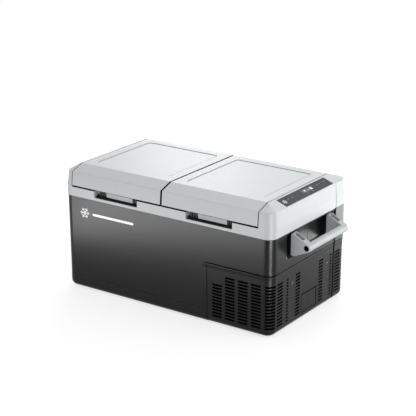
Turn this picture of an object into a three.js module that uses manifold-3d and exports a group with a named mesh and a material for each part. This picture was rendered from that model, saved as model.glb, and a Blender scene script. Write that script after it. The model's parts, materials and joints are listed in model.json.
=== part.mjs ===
// Dual-zone compressor cooler fridge, built as the separate pieces it comes apart into.
// Millimetres. The finished origin is the centre of the footprint on the floor, +X runs towards
// the control panel end, -Y is the long front face and +Z is up. Heights in this file are
// measured from a datum a little above the floor; the whole assembly is lifted at the end.
import * as THREE from "three";
import { mergeVertices } from "three/addons/utils/BufferGeometryUtils.js";
import Module from "manifold-3d";

const wasm = await Module();
wasm.setup();

// ---------------------------------------------------------------- driving dimensions
const HALF_LENGTH = 408; // light top frame, without the handles
const HALF_DEPTH = 234;
const CORNER_RADIUS = 31;
const WALL = 3;
const GAP = 0.3;

const FLOOR = -14;
const DEEP = -30; // safely below the whole object, for cutting blocks
const TRAY_BOTTOM = -11;
const TRAY_TOP = 31.5;
const VENT_TOP = 192;
const VENT_START = 167; // the vent cover wraps the end from here
const FRAME_BOTTOM = 310.7;
const LEDGE = 342.5;
const SKIRT_BOTTOM = 346.7;
const CHAMFER_FOOT = 394;
const HEIGHT = 411.1;

const SKIRT_LEAN = 4.2; // how far the lid skirts lean in at the chamfer's foot
const TOP_HALF_DEPTH = 179.1; // the flat top inside the chamfers
const TOP_LEFT = 377;
const TOP_RIGHT = 357.6;
const TOP_CORNER_RADIUS = 0.8;
const BOTTOM_EDGE_RADIUS = 18;
const BODY_STEP = 1; // the dark body stands back from the frame
const BODY_DRAFT = 1.7;

const OUTER_STEPS = 4; // facets in a quarter turn of the outside corners
const INNER_STEPS = 3;

const BAY_TRAY = { end: 371, halfDepth: 209 };

// Left and right halves: the lid's ends, the compartment's mouth and the grip pocket.
const HALVES = {
  left: { lid: [-372.9, -11.3], mouth: [-350, -34], grip: [-279, -104] },
  right: { lid: [-5.7, 355.1], mouth: [17, 332], grip: [88, 262.6] },
};
const FRAME_END_LEFT = -374.9;
const FRAME_END_RIGHT = 357.3;

const MOUTH_HALF_DEPTH = 188;
const MOUTH_RADIUS = 18;
const LINER_WALL = 2;
const LINER_DRAFT = 6;
const LINER_FLOOR = 48;
const SHALLOW_FLOOR = 232; // the right compartment steps up over the compressor
const DEEP_END = 138;
const LINER_RIM = 338.8;

const GRIP_DEPTH = 22;
const GRIP_FLOOR = 320.5;
const HINGE = { y: 231.8, z: 344.5 };
const HINGE_PIN_RADIUS = 1.4;
const LATCH = { y: 225.5, z: 341 };
const TRUNNION_RADIUS = 2.2;
const TRUNNION_BORE = 2.6;

const LOUVRE = { first: 16.9, pitch: 10.58, rows: 14, height: 5.6 };
const FRONT_LOUVRES = [
  { from: 186.8, to: 224.4, rows: 11 },
  { from: 235, to: 272.6, rows: 14 },
  { from: 283.2, to: 320.8, rows: 14 },
  { from: 331.4, to: 369, rows: 14 },
];
const CORNER_LOUVRE = { x: 381.5, y: 201 };
const END_LOUVRES = [
  [57.5, 85.2],
  [128.1, 139.9],
  [160.5, 193.7],
];
const GROOVE = { y: 152, width: 9, depth: 1.8 };
const SOCKET_WINDOW = { y: 46.5, z: [10.5, 77.5] };
const COVER_SCREW = { y: 107.4, z: 133.7, radius: 4.2 };

const SCOOP = { halfWidth: 147, bottom: 225, top: 307, depth: 24 };
const HANDLE = { root: 404.8, inner: 96, outer: 121, bar: [459.5, 262.5], barRadius: 15 };

const BACKPLATE = { from: 374, to: 376.5, halfDepth: 122, z: [238, 293] };

const PANEL = { length: 285, width: 40, fromFoot: 22.7, recess: 1.2 };
const BUTTONS = { button_power: -98, button_set: 61, button_minus: 92, button_plus: 118 };
const BUTTON_RADIUS = 4.2;

// ---------------------------------------------------------------- materials
const finish = (color, roughness, metalness = 0) =>
  new THREE.MeshStandardMaterial({ color, roughness, metalness });
const lightPlastic = finish(0xd6d9db, 0.45);
const darkPlastic = finish(0x3a3c3b, 0.5);
const blackPlastic = finish(0x161717, 0.55);
const handlePlastic = finish(0xb4b9bc, 0.4);
const linerPlastic = finish(0xeceeee, 0.4);
const panelFilm = finish(0x3f3f42, 0.35);
const foam = finish(0xe3d9a8, 0.9);
const rubber = finish(0x222222, 0.9);
const steel = finish(0xb9bcc0, 0.3, 1);
const blackSteel = finish(0x1c1d1f, 0.45, 0.6);
const aluminium = finish(0xc4c7ca, 0.4, 1);
const copper = finish(0xb8734a, 0.35, 1);
const circuitBoard = finish(0x1f5a3a, 0.6);
const smokedGlass = finish(0x202225, 0.1);
const ledLens = finish(0xdfe8df, 0.3);
const whiteWire = finish(0xf0f0f0, 0.5);

// ---------------------------------------------------------------- solid helpers
function solid(geometry) {
  const bare = geometry.clone();
  bare.deleteAttribute("normal");
  bare.deleteAttribute("uv");
  const merged = mergeVertices(bare, 1e-3);
  const mesh = new wasm.Mesh({
    numProp: 3,
    vertProperties: new Float32Array(merged.attributes.position.array),
    triVerts: new Uint32Array(merged.index.array),
  });
  return new wasm.Manifold(mesh);
}

function geometryOf(body) {
  const mesh = body.getMesh();
  const geometry = new THREE.BufferGeometry();
  geometry.setAttribute("position", new THREE.BufferAttribute(mesh.vertProperties, 3));
  geometry.setIndex(new THREE.BufferAttribute(mesh.triVerts, 1));
  const flat = geometry.toNonIndexed();
  flat.computeVertexNormals();
  return flat;
}

const union = (bodies) => bodies.reduce((all, body) => all.add(body));
const without = (body, cutters) => cutters.reduce((left, cutter) => left.subtract(cutter), body);

function block([x0, x1], [y0, y1], [z0, z1]) {
  const geometry = new THREE.BoxGeometry(x1 - x0, y1 - y0, z1 - z0);
  geometry.translate((x0 + x1) / 2, (y0 + y1) / 2, (z0 + z1) / 2);
  return solid(geometry);
}

// The whole space between two planes of constant x.
const slab = (x0, x1) => block([x0, x1], [-300, 300], [DEEP, 500]);

function rod(axis, [x, y, z], radius, length, sides = 12) {
  const geometry = new THREE.CylinderGeometry(radius, radius, length, sides);
  if (axis === "x") geometry.rotateZ(-Math.PI / 2);
  if (axis === "z") geometry.rotateX(Math.PI / 2);
  geometry.translate(x, y, z);
  return solid(geometry);
}

// A flat outline pushed along one axis. Points are [y, z] for x, [x, z] for y and [x, y] for z.
function prism(axis, points, from, to) {
  const flat = axis === "y" ? points.map(([x, z]) => [z, x]) : points;
  const shape = new THREE.Shape(flat.map(([a, b]) => new THREE.Vector2(a, b)));
  const geometry = new THREE.ExtrudeGeometry(shape, { depth: to - from, bevelEnabled: false });
  geometry.translate(0, 0, from);
  const basis = new THREE.Matrix4();
  const ex = new THREE.Vector3(1, 0, 0);
  const ey = new THREE.Vector3(0, 1, 0);
  const ez = new THREE.Vector3(0, 0, 1);
  if (axis === "x") geometry.applyMatrix4(basis.makeBasis(ey, ez, ex));
  if (axis === "y") geometry.applyMatrix4(basis.makeBasis(ez, ex, ey));
  return solid(geometry);
}

// A rounded rectangle at one height, counter-clockwise from above.
function ring({ x, y, radius, z }, steps) {
  const r = Math.max(radius, TOP_CORNER_RADIUS);
  const [x0, x1] = x;
  const corners = [
    [x1 - r, y - r],
    [x0 + r, y - r],
    [x0 + r, r - y],
    [x1 - r, r - y],
  ];
  const points = [];
  corners.forEach(([cx, cy], corner) => {
    for (let i = 0; i <= steps; i++) {
      const angle = ((corner + i / steps) * Math.PI) / 2;
      points.push([cx + r * Math.cos(angle), cy + r * Math.sin(angle), z]);
    }
  });
  return points;
}

// A closed skin over rounded rectangles stacked from the lowest up.
function loft(levels, steps = OUTER_STEPS) {
  const rings = levels.map((level) => ring(level, steps));
  const count = rings[0].length;
  const index = [];
  for (let level = 0; level + 1 < rings.length; level++) {
    for (let i = 0; i < count; i++) {
      const a = level * count + i;
      const b = level * count + ((i + 1) % count);
      index.push(a, b, b + count, a, b + count, a + count);
    }
  }
  const top = (rings.length - 1) * count;
  for (let i = 1; i + 1 < count; i++) {
    index.push(0, i + 1, i);
    index.push(top, top + i, top + i + 1);
  }
  const geometry = new THREE.BufferGeometry();
  geometry.setAttribute("position", new THREE.Float32BufferAttribute(rings.flat(2), 3));
  geometry.setIndex(index);
  return solid(geometry);
}

function tube(points, radius, steps, sides = 5) {
  const path = new THREE.CatmullRomCurve3(points.map(([x, y, z]) => new THREE.Vector3(x, y, z)));
  const outline = [];
  for (let i = 0; i < sides; i++) {
    const angle = (2 * Math.PI * i) / sides;
    outline.push(new THREE.Vector2(radius * Math.cos(angle), radius * Math.sin(angle)));
  }
  const shape = new THREE.Shape(outline);
  return solid(new THREE.ExtrudeGeometry(shape, { steps, extrudePath: path, bevelEnabled: false }));
}

function lathe(profile, segments, [x, y, z]) {
  const points = profile.map(([r, h]) => new THREE.Vector2(r, h));
  const geometry = new THREE.LatheGeometry(points, segments);
  geometry.rotateX(Math.PI / 2);
  geometry.translate(x, y, z);
  return solid(geometry);
}

// ---------------------------------------------------------------- outside envelopes
// How far the rounded bottom edge pulls in at height z.
function edgeInset(z) {
  const below = THREE.MathUtils.clamp(BOTTOM_EDGE_RADIUS - (z - TRAY_BOTTOM), 0, BOTTOM_EDGE_RADIUS);
  return BOTTOM_EDGE_RADIUS - Math.sqrt(BOTTOM_EDGE_RADIUS ** 2 - below ** 2);
}

const bodyInset = (z) => BODY_STEP + (BODY_DRAFT * (FRAME_BOTTOM - z)) / FRAME_BOTTOM;

function bodyLevel(z, inset) {
  const total = bodyInset(z) + edgeInset(z) + inset;
  return {
    x: [total - HALF_LENGTH, HALF_LENGTH - total],
    y: HALF_DEPTH - total,
    radius: CORNER_RADIUS - edgeInset(z) - inset,
    z,
  };
}

const body = (from, to, inset) => loft([bodyLevel(from, inset), bodyLevel(to, inset)]);

// The rounded-bottom part of the body, from its underside up to a given height.
function roundedBody(from, to, inset) {
  const heights = [0, 2, 5, 10].map((rise) => TRAY_BOTTOM + rise).filter((z) => z > from && z < to);
  return loft([from, ...heights, to].map((z) => bodyLevel(z, inset)));
}

// Where a chamfer face lies at height z, pushed in by an inset.
function chamferAt(foot, top, inset, z) {
  const run = (foot - top) / (HEIGHT - CHAMFER_FOOT);
  return Math.min(foot - inset, top + run * (HEIGHT - z) - inset * Math.hypot(1, run));
}

function crownLevel(z, inset) {
  const foot = HALF_LENGTH - SKIRT_LEAN;
  const up = THREE.MathUtils.clamp((z - CHAMFER_FOOT) / (HEIGHT - CHAMFER_FOOT), 0, 1);
  return {
    x: [-chamferAt(foot, TOP_LEFT, inset, z), chamferAt(foot, TOP_RIGHT, inset, z)],
    y: chamferAt(HALF_DEPTH - SKIRT_LEAN, TOP_HALF_DEPTH, inset, z),
    radius: CORNER_RADIUS * (1 - up) - inset,
    z,
  };
}

function straightLevel(z, inset) {
  const x = HALF_LENGTH - inset;
  return { x: [-x, x], y: HALF_DEPTH - inset, radius: CORNER_RADIUS - inset, z };
}

// The light crown: straight frame, leaning skirts, chamfers and flat top, pushed in by an inset.
function crown(from, to, inset) {
  const levels = [straightLevel(from, inset)];
  if (from < SKIRT_BOTTOM) levels.push(straightLevel(SKIRT_BOTTOM, inset));
  levels.push(crownLevel(CHAMFER_FOOT - 0.65 * inset, inset));
  levels.push(crownLevel(to, inset));
  return loft(levels);
}

// The smooth hollow behind a handle, grown by an offset; side is 1 for the right end, -1 for the left.
function scoop(side, offset) {
  const face = HALF_LENGTH - BODY_STEP;
  const back = face - SCOOP.depth - offset;
  const wide = SCOOP.halfWidth + offset;
  const mouth = HALF_LENGTH + 20;
  const plan = [
    [mouth, -wide],
    [face - offset, -wide],
    [back + 3, -wide + 24],
    [back, -60],
    [back + 7, 0],
    [back, 60],
    [back + 3, wide - 24],
    [face - offset, wide],
    [mouth, wide],
  ];
  const top = offset ? FRAME_BOTTOM + 5 : SCOOP.top;
  const profile = [
    [mouth, SCOOP.bottom - offset],
    [face - offset, SCOOP.bottom - offset],
    [back + 6, SCOOP.bottom + 26 - offset],
    [back - 1, SCOOP.bottom + 46 - offset],
    [back - 1, top],
    [mouth, top],
  ];
  const flip = (points) => points.map(([x, other]) => [side * x, other]);
  const low = SCOOP.bottom - offset - 1;
  return prism("z", flip(plan), low, top + 1).intersect(prism("y", flip(profile), -wide - 1, wide + 1));
}

// ---------------------------------------------------------------- the assembly
const cooler = new THREE.Group();
cooler.name = "compressor_cooler";

function add(name, shape, material, group = cooler) {
  const mesh = new THREE.Mesh(geometryOf(shape), material);
  mesh.name = name;
  group.add(mesh);
}

// ---------------------------------------------------------------- compartments
// A compartment's inside, grown by an offset and cut off at height top.
function tub([x0, x1], floor, offset, top) {
  const level = (z, draft) => ({
    x: [x0 + draft - offset, x1 - draft + offset],
    y: MOUTH_HALF_DEPTH - draft + offset,
    radius: MOUTH_RADIUS + offset,
    z,
  });
  const low = floor - offset;
  const draftAt = (z) => (LINER_DRAFT * (LINER_RIM - z)) / (LINER_RIM - LINER_FLOOR);
  return loft([level(low, draftAt(low)), level(top, Math.max(0, draftAt(top)))], INNER_STEPS);
}

function compartment(side, offset, top) {
  const { mouth } = HALVES[side];
  if (side === "left") return tub(mouth, LINER_FLOOR, offset, top);
  const deep = tub([mouth[0], DEEP_END], LINER_FLOOR, offset, top);
  return deep.add(tub(mouth, SHALLOW_FLOOR, offset, top));
}

function addLiner(side) {
  const { mouth } = HALVES[side];
  const flange = loft(
    [LINER_RIM - 1.8, LINER_RIM].map((z) => ({
      x: [mouth[0] - 8, mouth[1] + 8],
      y: MOUTH_HALF_DEPTH + 8,
      radius: MOUTH_RADIUS + 8,
      z,
    })),
    INNER_STEPS,
  );
  const outside = compartment(side, LINER_WALL, LINER_RIM).add(flange);
  add(`inner_liner_${side}`, outside.subtract(compartment(side, 0, LINER_RIM + 5)), linerPlastic);
}

// The evaporator is a plate wrapped round the deep part of each liner, inside the foam.
const EVAPORATOR = { from: 80, to: 200, thickness: 1.2 };

function evaporatorBand(side, offset, slack) {
  const { mouth } = HALVES[side];
  const span = side === "left" ? mouth : [mouth[0], DEEP_END];
  const cut = block([-HALF_LENGTH, HALF_LENGTH], [-HALF_DEPTH, HALF_DEPTH], [
    EVAPORATOR.from - slack,
    EVAPORATOR.to + slack,
  ]);
  return tub(span, LINER_FLOOR, offset, LINER_RIM).intersect(cut);
}

function addEvaporator(side) {
  const inside = LINER_WALL + GAP;
  const band = evaporatorBand(side, inside + EVAPORATOR.thickness, 0);
  add(`evaporator_${side}`, band.subtract(evaporatorBand(side, inside, 1)), aluminium);
}

const PARTITION = { wall: 161, roof: 203, back: 344, sheet: 1.2, halfDepth: 218 };

function addFoam() {
  const inset = WALL + GAP;
  const bay = block([PARTITION.wall - GAP, HALF_LENGTH], [-HALF_DEPTH, HALF_DEPTH], [
    DEEP,
    PARTITION.roof + PARTITION.sheet + GAP,
  ]);
  const cutters = [bay, slab(PARTITION.back - GAP, HALF_LENGTH), scoop(-1, inset), backplate(-1, GAP)];
  cutters.push(pillars(-1, GAP), ...handleBolts(3.3, BACKPLATE.from, HALF_LENGTH));
  for (const side of ["left", "right"]) {
    cutters.push(compartment(side, LINER_WALL + GAP, LINER_RIM));
    cutters.push(evaporatorBand(side, LINER_WALL + 2 * GAP + EVAPORATOR.thickness, GAP));
  }
  add("foam_insulation", without(roundedBody(TRAY_BOTTOM + WALL + GAP, 308, inset), cutters), foam);
}

function addPartition() {
  const { wall, roof, back, sheet, halfDepth } = PARTITION;
  const outline = [
    [wall, TRAY_BOTTOM + WALL + GAP],
    [wall + sheet, TRAY_BOTTOM + WALL + GAP],
    [wall + sheet, roof],
    [back + sheet, roof],
    [back + sheet, 309],
    [back, 309],
    [back, roof + sheet],
    [wall, roof + sheet],
  ];
  add("bay_partition", prism("y", outline, -halfDepth, halfDepth), steel);
}

// ---------------------------------------------------------------- body shells
const ventZone = (from, to) =>
  block([VENT_START, HALF_LENGTH + 10], [-HALF_DEPTH - 1, HALF_DEPTH + 1], [from, to]);

// The upright channel near the rear of the end wall, as deep as GROOVE says below a given skin.
function grooveCut(skin) {
  const { y, width } = GROOVE;
  const across = [y - width / 2, y + width / 2];
  return block([HALF_LENGTH - 30, HALF_LENGTH + 5], across, [DEEP, 500]).subtract(skin);
}

// Screws that hold a handle arm run through a pillar of the shell into the arm.
function handleBolts(radius, from, to) {
  const bolts = [];
  for (const side of [-1, 1])
    for (const y of [-108.5, 108.5])
      for (const z of [246, 285])
        bolts.push(rod("x", [(side * (from + to)) / 2, y, z], radius, to - from, 6));
  return bolts;
}

const ordered = (a, b) => (a < b ? [a, b] : [b, a]);

// The two blocks of an end wall that a handle's arms stand on.
function pillars(side, grow) {
  const back = HALF_LENGTH - BODY_STEP - SCOOP.depth - 1;
  const across = ordered(side * (back - grow), side * (HANDLE.root - GAP));
  const along = (sign) => ordered(sign * (HANDLE.inner - grow), sign * (HANDLE.outer + grow));
  return union([-1, 1].map((sign) => block(across, along(sign), [232 - grow, 303 + grow])));
}

function addOuterShell() {
  const low = TRAY_TOP + GAP;
  const high = FRAME_BOTTOM - GAP;
  let inside = body(low - 2, high + 2, WALL);
  let outside = body(low, high, 0);
  for (const side of [-1, 1]) {
    inside = inside.subtract(scoop(side, WALL));
    outside = outside.subtract(scoop(side, 0)).add(pillars(side, 0));
  }
  inside = without(inside, [pillars(1, 0), pillars(-1, 0)]);
  const groove = grooveCut(body(low - 5, high + 5, GROOVE.depth));
  const cutters = [ventZone(DEEP, VENT_TOP + GAP), groove, ...handleBolts(3.3, 340, 410)];
  add("outer_shell", without(outside.subtract(inside), cutters), darkPlastic);
}

// The tray is full width under the compartments and narrower inside the vent cover's curled-in foot.
function addBaseTray() {
  const outside = roundedBody(TRAY_BOTTOM, TRAY_TOP, 0);
  const bayFloor = (start, grow, z) =>
    block([start, BAY_TRAY.end + grow], [-BAY_TRAY.halfDepth - grow, BAY_TRAY.halfDepth + grow], [z, 60]);
  const trimmed = outside.subtract(ventZone(DEEP, 50).subtract(bayFloor(VENT_START - GAP, 0, DEEP)));
  const mainRoom = roundedBody(TRAY_BOTTOM + WALL, TRAY_TOP + 2, WALL);
  const bayRoom = bayFloor(VENT_START - 2 * WALL, -WALL, TRAY_BOTTOM + WALL);
  const rooms = mainRoom.subtract(ventZone(DEEP, 50).translate(-WALL - GAP, 0, 0)).add(bayRoom);
  add("base_tray", trimmed.subtract(rooms), darkPlastic);
}

function louvreCutters() {
  const cutters = [];
  for (let row = 0; row < LOUVRE.rows; row++) {
    const z = LOUVRE.first + row * LOUVRE.pitch;
    const span = [z - LOUVRE.height / 2, z + LOUVRE.height / 2];
    for (const sign of [-1, 1]) {
      const wall = sign < 0 ? [-240, -224] : [224, 240];
      for (const { from, to, rows } of FRONT_LOUVRES) {
        if (row < rows) cutters.push(block([from, to], wall, span));
      }
      const corner = sign < 0 ? [-240, -CORNER_LOUVRE.y] : [CORNER_LOUVRE.y, 240];
      cutters.push(block([CORNER_LOUVRE.x, 420], corner, span));
      for (const [near, far] of END_LOUVRES) {
        const across = sign < 0 ? [-far, -near] : [near, far];
        cutters.push(block([396, 420], across, span));
      }
    }
  }
  return cutters;
}

function addVentCover() {
  const low = TRAY_BOTTOM + GAP;
  const outside = roundedBody(low, VENT_TOP, BODY_STEP);
  const inside = roundedBody(low - 0.2, VENT_TOP + 2, BODY_STEP + WALL);
  const opening = block([HALF_LENGTH - 30, 420], [-SOCKET_WINDOW.y, SOCKET_WINDOW.y], SOCKET_WINDOW.z);
  const shell = outside.subtract(inside).intersect(slab(VENT_START + GAP, 420));
  const { y, z, radius } = COVER_SCREW;
  const holes = [-y, y].map((side) => rod("x", [HALF_LENGTH, side, z], 1.8, 30, 10));
  const groove = grooveCut(roundedBody(low - 0.2, VENT_TOP + 2, BODY_STEP + GROOVE.depth));
  const cutters = [opening, groove, ...holes, ...louvreCutters()];
  add("vent_cover", without(shell, cutters), darkPlastic);

  const face = HALF_LENGTH - bodyInset(z) - BODY_STEP;
  for (const [name, side] of [["vent_screw_front", -y], ["vent_screw_rear", y]]) {
    const head = rod("x", [face + GAP + 0.8, side, z], radius, 1.6, 10);
    add(name, head.add(rod("x", [face - 5, side, z], 1.4, 12, 10)), blackSteel);
  }
}

// A rubber strip under each end of the tray.
function addFeet() {
  for (const [name, x] of [["foot_strip_left", -350], ["foot_strip_right", 350]])
    add(name, block([x - 12, x + 12], [-195, 195], [FLOOR, TRAY_BOTTOM - GAP]), rubber);
}

// ---------------------------------------------------------------- light top frame
const gripSpan = (sign, near, far) => ordered(sign * near, sign * far);

function hingeBosses([x0, x1]) {
  const tall = [336, SKIRT_BOTTOM - 2 * GAP];
  const deep = [228, HALF_DEPTH - GAP];
  return [block([x0, x0 + 4], deep, tall), block([x1 - 4, x1], deep, tall)];
}

function addTopFrame() {
  const lower = crown(FRAME_BOTTOM, HEIGHT, 0).intersect(block([-500, 500], [-500, 500], [0, LEDGE]));
  const ends = slab(-500, FRAME_END_LEFT).add(slab(FRAME_END_RIGHT, 500));
  const outside = lower.add(crown(FRAME_BOTTOM, HEIGHT, 0).intersect(ends));
  const below = block([-500, 500], [-500, 500], [0, LEDGE - WALL]);
  const endRooms = slab(-500, FRAME_END_LEFT - WALL).add(slab(FRAME_END_RIGHT + WALL, 500));
  const hollow = crown(FRAME_BOTTOM - 5, 405, WALL).intersect(below.add(endRooms));
  const walls = [];
  const cuts = [];
  for (const { mouth, grip } of Object.values(HALVES)) {
    for (const sign of [-1, 1]) {
      const wall = gripSpan(sign, HALF_DEPTH - GRIP_DEPTH - WALL, HALF_DEPTH - 1);
      walls.push(block([grip[0] - WALL, grip[1] + WALL], wall, [GRIP_FLOOR - WALL, LEDGE - 1]));
      const mouthCut = gripSpan(sign, HALF_DEPTH - GRIP_DEPTH, HALF_DEPTH + 5);
      cuts.push(block(grip, mouthCut, [GRIP_FLOOR, LEDGE + 10]));
    }
    const outline = { x: mouth, y: MOUTH_HALF_DEPTH, radius: MOUTH_RADIUS };
    cuts.push(loft([{ ...outline, z: 300 }, { ...outline, z: LEDGE + 1 }], INNER_STEPS));
  }
  const bosses = Object.values(HALVES).flatMap(({ grip }) => hingeBosses(grip));
  const pins = Object.values(HALVES).map(({ grip }) => hingePin(grip, HINGE_PIN_RADIUS + GAP, 1));
  let frame = without(outside.subtract(hollow).add(union(walls)), cuts);
  frame = without(frame.add(union(bosses)), [...pins, panelRecess()]);
  add("top_frame", frame, lightPlastic);
}

function hingePin([x0, x1], radius, extra) {
  const length = x1 - x0 + 2 * extra - 1;
  return rod("x", [(x0 + x1) / 2, HINGE.y, HINGE.z], radius, length, 10);
}

function addHingePins() {
  for (const [side, { grip }] of Object.entries(HALVES))
    add(`hinge_pin_${side}`, hingePin(grip, HINGE_PIN_RADIUS, 0), steel);
}

// ---------------------------------------------------------------- control panel
const panelSlope = Math.atan((HEIGHT - CHAMFER_FOOT) / (HALF_LENGTH - SKIRT_LEAN - TOP_RIGHT));
const panelCentre = new THREE.Vector3(
  HALF_LENGTH - SKIRT_LEAN - PANEL.fromFoot * Math.cos(panelSlope),
  0,
  CHAMFER_FOOT + PANEL.fromFoot * Math.sin(panelSlope),
);

// In the panel's own frame x runs down the slope, y along the object and z out of the face.
const panelGroup = new THREE.Group();
panelGroup.position.copy(panelCentre);
panelGroup.rotation.y = panelSlope;
cooler.add(panelGroup);

function onPanel(geometry) {
  const turn = new THREE.Matrix4().makeRotationY(panelSlope).setPosition(panelCentre);
  return solid(geometry.applyMatrix4(turn));
}

function panelRecess() {
  const { width, length, recess } = PANEL;
  const seat = new THREE.BoxGeometry(width + 2 * GAP, length + 2 * GAP, 2 * recess);
  const room = new THREE.BoxGeometry(width - 10, length - 14, 12);
  return onPanel(seat).add(onPanel(room));
}

const LEDS = { power_led: -71, fault_led: -42 };
const DISPLAY = { x: -4, y: [-16, 50], halfWidth: 8 };
const MARK_LINE = -4.5; // the row of marks sits a little above the panel's middle

function addControlPanel() {
  const { width, length, recess } = PANEL;
  const [x, y] = [width / 2, length / 2];
  const thick = recess - GAP;
  const hole = (v, radius, sides) => rod("z", [MARK_LINE, v, 0], radius, 6, sides);
  const holes = Object.values(BUTTONS).map((v) => hole(v, BUTTON_RADIUS + GAP, 12));
  Object.values(LEDS).forEach((v) => holes.push(hole(v, 1.8, 8)));
  const glass = (grow, z) =>
    block([DISPLAY.x - DISPLAY.halfWidth - grow, DISPLAY.x + DISPLAY.halfWidth + grow],
      [DISPLAY.y[0] - grow, DISPLAY.y[1] + grow], z);
  const film = block([-x, x], [-y, y], [-thick, 0]);
  add("panel_overlay", without(film, [...holes, glass(GAP, [-3, 3])]), panelFilm, panelGroup);
  add("display_window", glass(0, [-2.5, -0.1]), smokedGlass, panelGroup);
  for (const [name, v] of Object.entries(LEDS))
    add(name, rod("z", [MARK_LINE, v, -2.1], 1.5, 4, 8), ledLens, panelGroup);
  add("control_board", block([-13, 13], [-126, 126], [-7, -5.4]), circuitBoard, panelGroup);
  const tray = block([-16, 16], [-130, 130], [-13, -4.4]);
  const room = block([-14, 14], [-128, 128], [-11.5, 0]);
  add("control_housing", tray.subtract(room), blackPlastic, panelGroup);
  for (const [name, v] of Object.entries(BUTTONS)) {
    const cap = rod("z", [MARK_LINE, v, -0.4], BUTTON_RADIUS, 1.4, 12);
    const stem = rod("z", [MARK_LINE, v, -2.6], 1.5, 3.6, 8);
    add(name, cap.add(stem), panelFilm, panelGroup);
  }
}

// ---------------------------------------------------------------- lids
function addLid(side) {
  const { lid, mouth, grip } = HALVES[side];
  const [x0, x1] = lid;
  const skin = crown(SKIRT_BOTTOM, HEIGHT, 0).intersect(slab(x0, x1));
  const recess = loft([409.1, 420].map((z) => ({
    x: [mouth[0] + 11, mouth[1] - 13],
    y: 149,
    radius: 13,
    z,
  })), INNER_STEPS);
  const cavity = crown(SKIRT_BOTTOM - 5, 405.5, WALL).intersect(slab(x0 + WALL, x1 - WALL));
  const notches = [grip[0] - 1, grip[1] - 5].map((x) => block([x, x + 6], [226, 240], [330, 349.6]));
  add(`lid_cover_${side}`, without(skin, [recess, cavity, ...notches]), lightPlastic);

  const inset = WALL + GAP;
  const room = (from, to) => crown(from, to, inset).intersect(slab(x0 + inset, x1 - inset));
  const plate = room(SKIRT_BOTTOM + GAP, 405).intersect(block([-500, 500], [-300, 300], [340, 349]));
  const plug = (offset, from, to) =>
    loft([from, to].map((z) => ({
      x: [mouth[0] + 3 + offset, mouth[1] - 3 - offset],
      y: MOUTH_HALF_DEPTH - 3 - offset,
      radius: MOUTH_RADIUS - 3 - offset,
      z,
    })), INNER_STEPS);
  const liner = plate.add(plug(0, 334, 348)).subtract(plug(2, 336, 360));
  add(`lid_liner_${side}`, without(liner, notches).add(latchKnuckles(side)), linerPlastic);

  const filling = room(SKIRT_BOTTOM, 405.2).intersect(block([-500, 500], [-300, 300], [349.3, 500]));
  add(`lid_foam_${side}`, filling.add(plug(2 + GAP, 336.3, 350)), foam);

  const sealRing = (offset) =>
    loft([LEDGE + 0.5, SKIRT_BOTTOM].map((z, i) => ({
      x: [mouth[0] - offset, mouth[1] + offset],
      y: MOUTH_HALF_DEPTH + offset,
      radius: MOUTH_RADIUS + offset,
      z: z + (offset < 10 ? 2 * i - 1 : 0),
    })), INNER_STEPS);
  add(`lid_gasket_${side}`, sealRing(14).subtract(sealRing(5)), rubber);
  addLatches(side);
}

// Each long side of a lid has a grip pocket with a sprung lever between two knuckle blocks.
const KNUCKLES = { left: [[-260.7, -233.4], [-124.6, -108.5]], right: [[102.3, 130.5], [241.4, 257.1]] };

function latchKnuckles(side) {
  const blocks = [];
  for (const sign of [-1, 1])
    for (const [a, b] of KNUCKLES[side]) {
      const bore = rod("x", [(a + b) / 2, sign * LATCH.y, LATCH.z], TRUNNION_BORE, b - a + 2, 10);
      const shape = block([a, b], gripSpan(sign, 222, 229.3), [336, SKIRT_BOTTOM + GAP + 0.5]);
      blocks.push(shape.subtract(bore));
    }
  return union(blocks);
}

function addLatches(side) {
  const [near, far] = KNUCKLES[side];
  const trunnions = [near[0] + 4, far[1] - 4];
  const middle = (trunnions[0] + trunnions[1]) / 2;
  for (const sign of [-1, 1]) {
    const pivot = [middle, sign * LATCH.y, LATCH.z];
    const shaft = rod("x", pivot, TRUNNION_RADIUS, trunnions[1] - trunnions[0], 10);
    const name = `latch_lever_${sign < 0 ? "front" : "rear"}_${side}`;
    add(name, latchLever([near[1] + 0.6, far[0] - 0.6], sign).add(shaft), handlePlastic);
  }
}

function latchLever([x0, x1], sign) {
  const outline = [
    [229, 343.2],
    [228.4, 344.4],
    [223.4, 344.4],
    [222.2, 341],
    [222.6, 338.2],
    [223.4, 333.6],
    [218.2, 333],
    [218.2, 331],
    [222.4, 329],
    [224.6, 328],
    [226.2, 328.6],
    [228.2, 338],
  ];
  return prism("x", outline.map(([y, z]) => [sign * y, z]), x0, x1);
}

// ---------------------------------------------------------------- handles
function addHandle(side) {
  const [barX, barZ] = HANDLE.bar;
  const r = HANDLE.barRadius;
  const arm = [
    [HANDLE.root, 300.5],
    [409, 304.5],
    [414.5, 305],
  ];
  for (let step = 0; step <= 6; step++) {
    const angle = THREE.MathUtils.degToRad(62 - 25 * step);
    arm.push([barX + r * Math.cos(angle), barZ + r * Math.sin(angle)]);
  }
  arm.push([418, 231], [411, 231.5], [HANDLE.root, 233.5]);
  const flip = (points) => points.map(([x, z]) => [side * x, z]);
  const pieces = [];
  const cuts = [];
  for (const sign of [-1, 1]) {
    pieces.push(prism("y", flip(arm), ...gripSpan(sign, HANDLE.inner, HANDLE.outer)));
    const slot = [[417, 320], [417, 294], [446, 276], [452, 320]];
    cuts.push(prism("y", flip(slot), ...gripSpan(sign, 102, 111)));
    cuts.push(rod("y", [side * barX, sign * (HANDLE.outer - 6), barZ], 9.5, 16, 16));
  }
  const bar = rod("y", [side * barX, 0, barZ], r, 2 * HANDLE.inner + 4, 14);
  cuts.push(...handleBolts(3.3, HANDLE.root - 10, HANDLE.root + 12));
  add(side > 0 ? "handle_right" : "handle_left", without(union(pieces).add(bar), cuts), handlePlastic);
}

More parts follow.
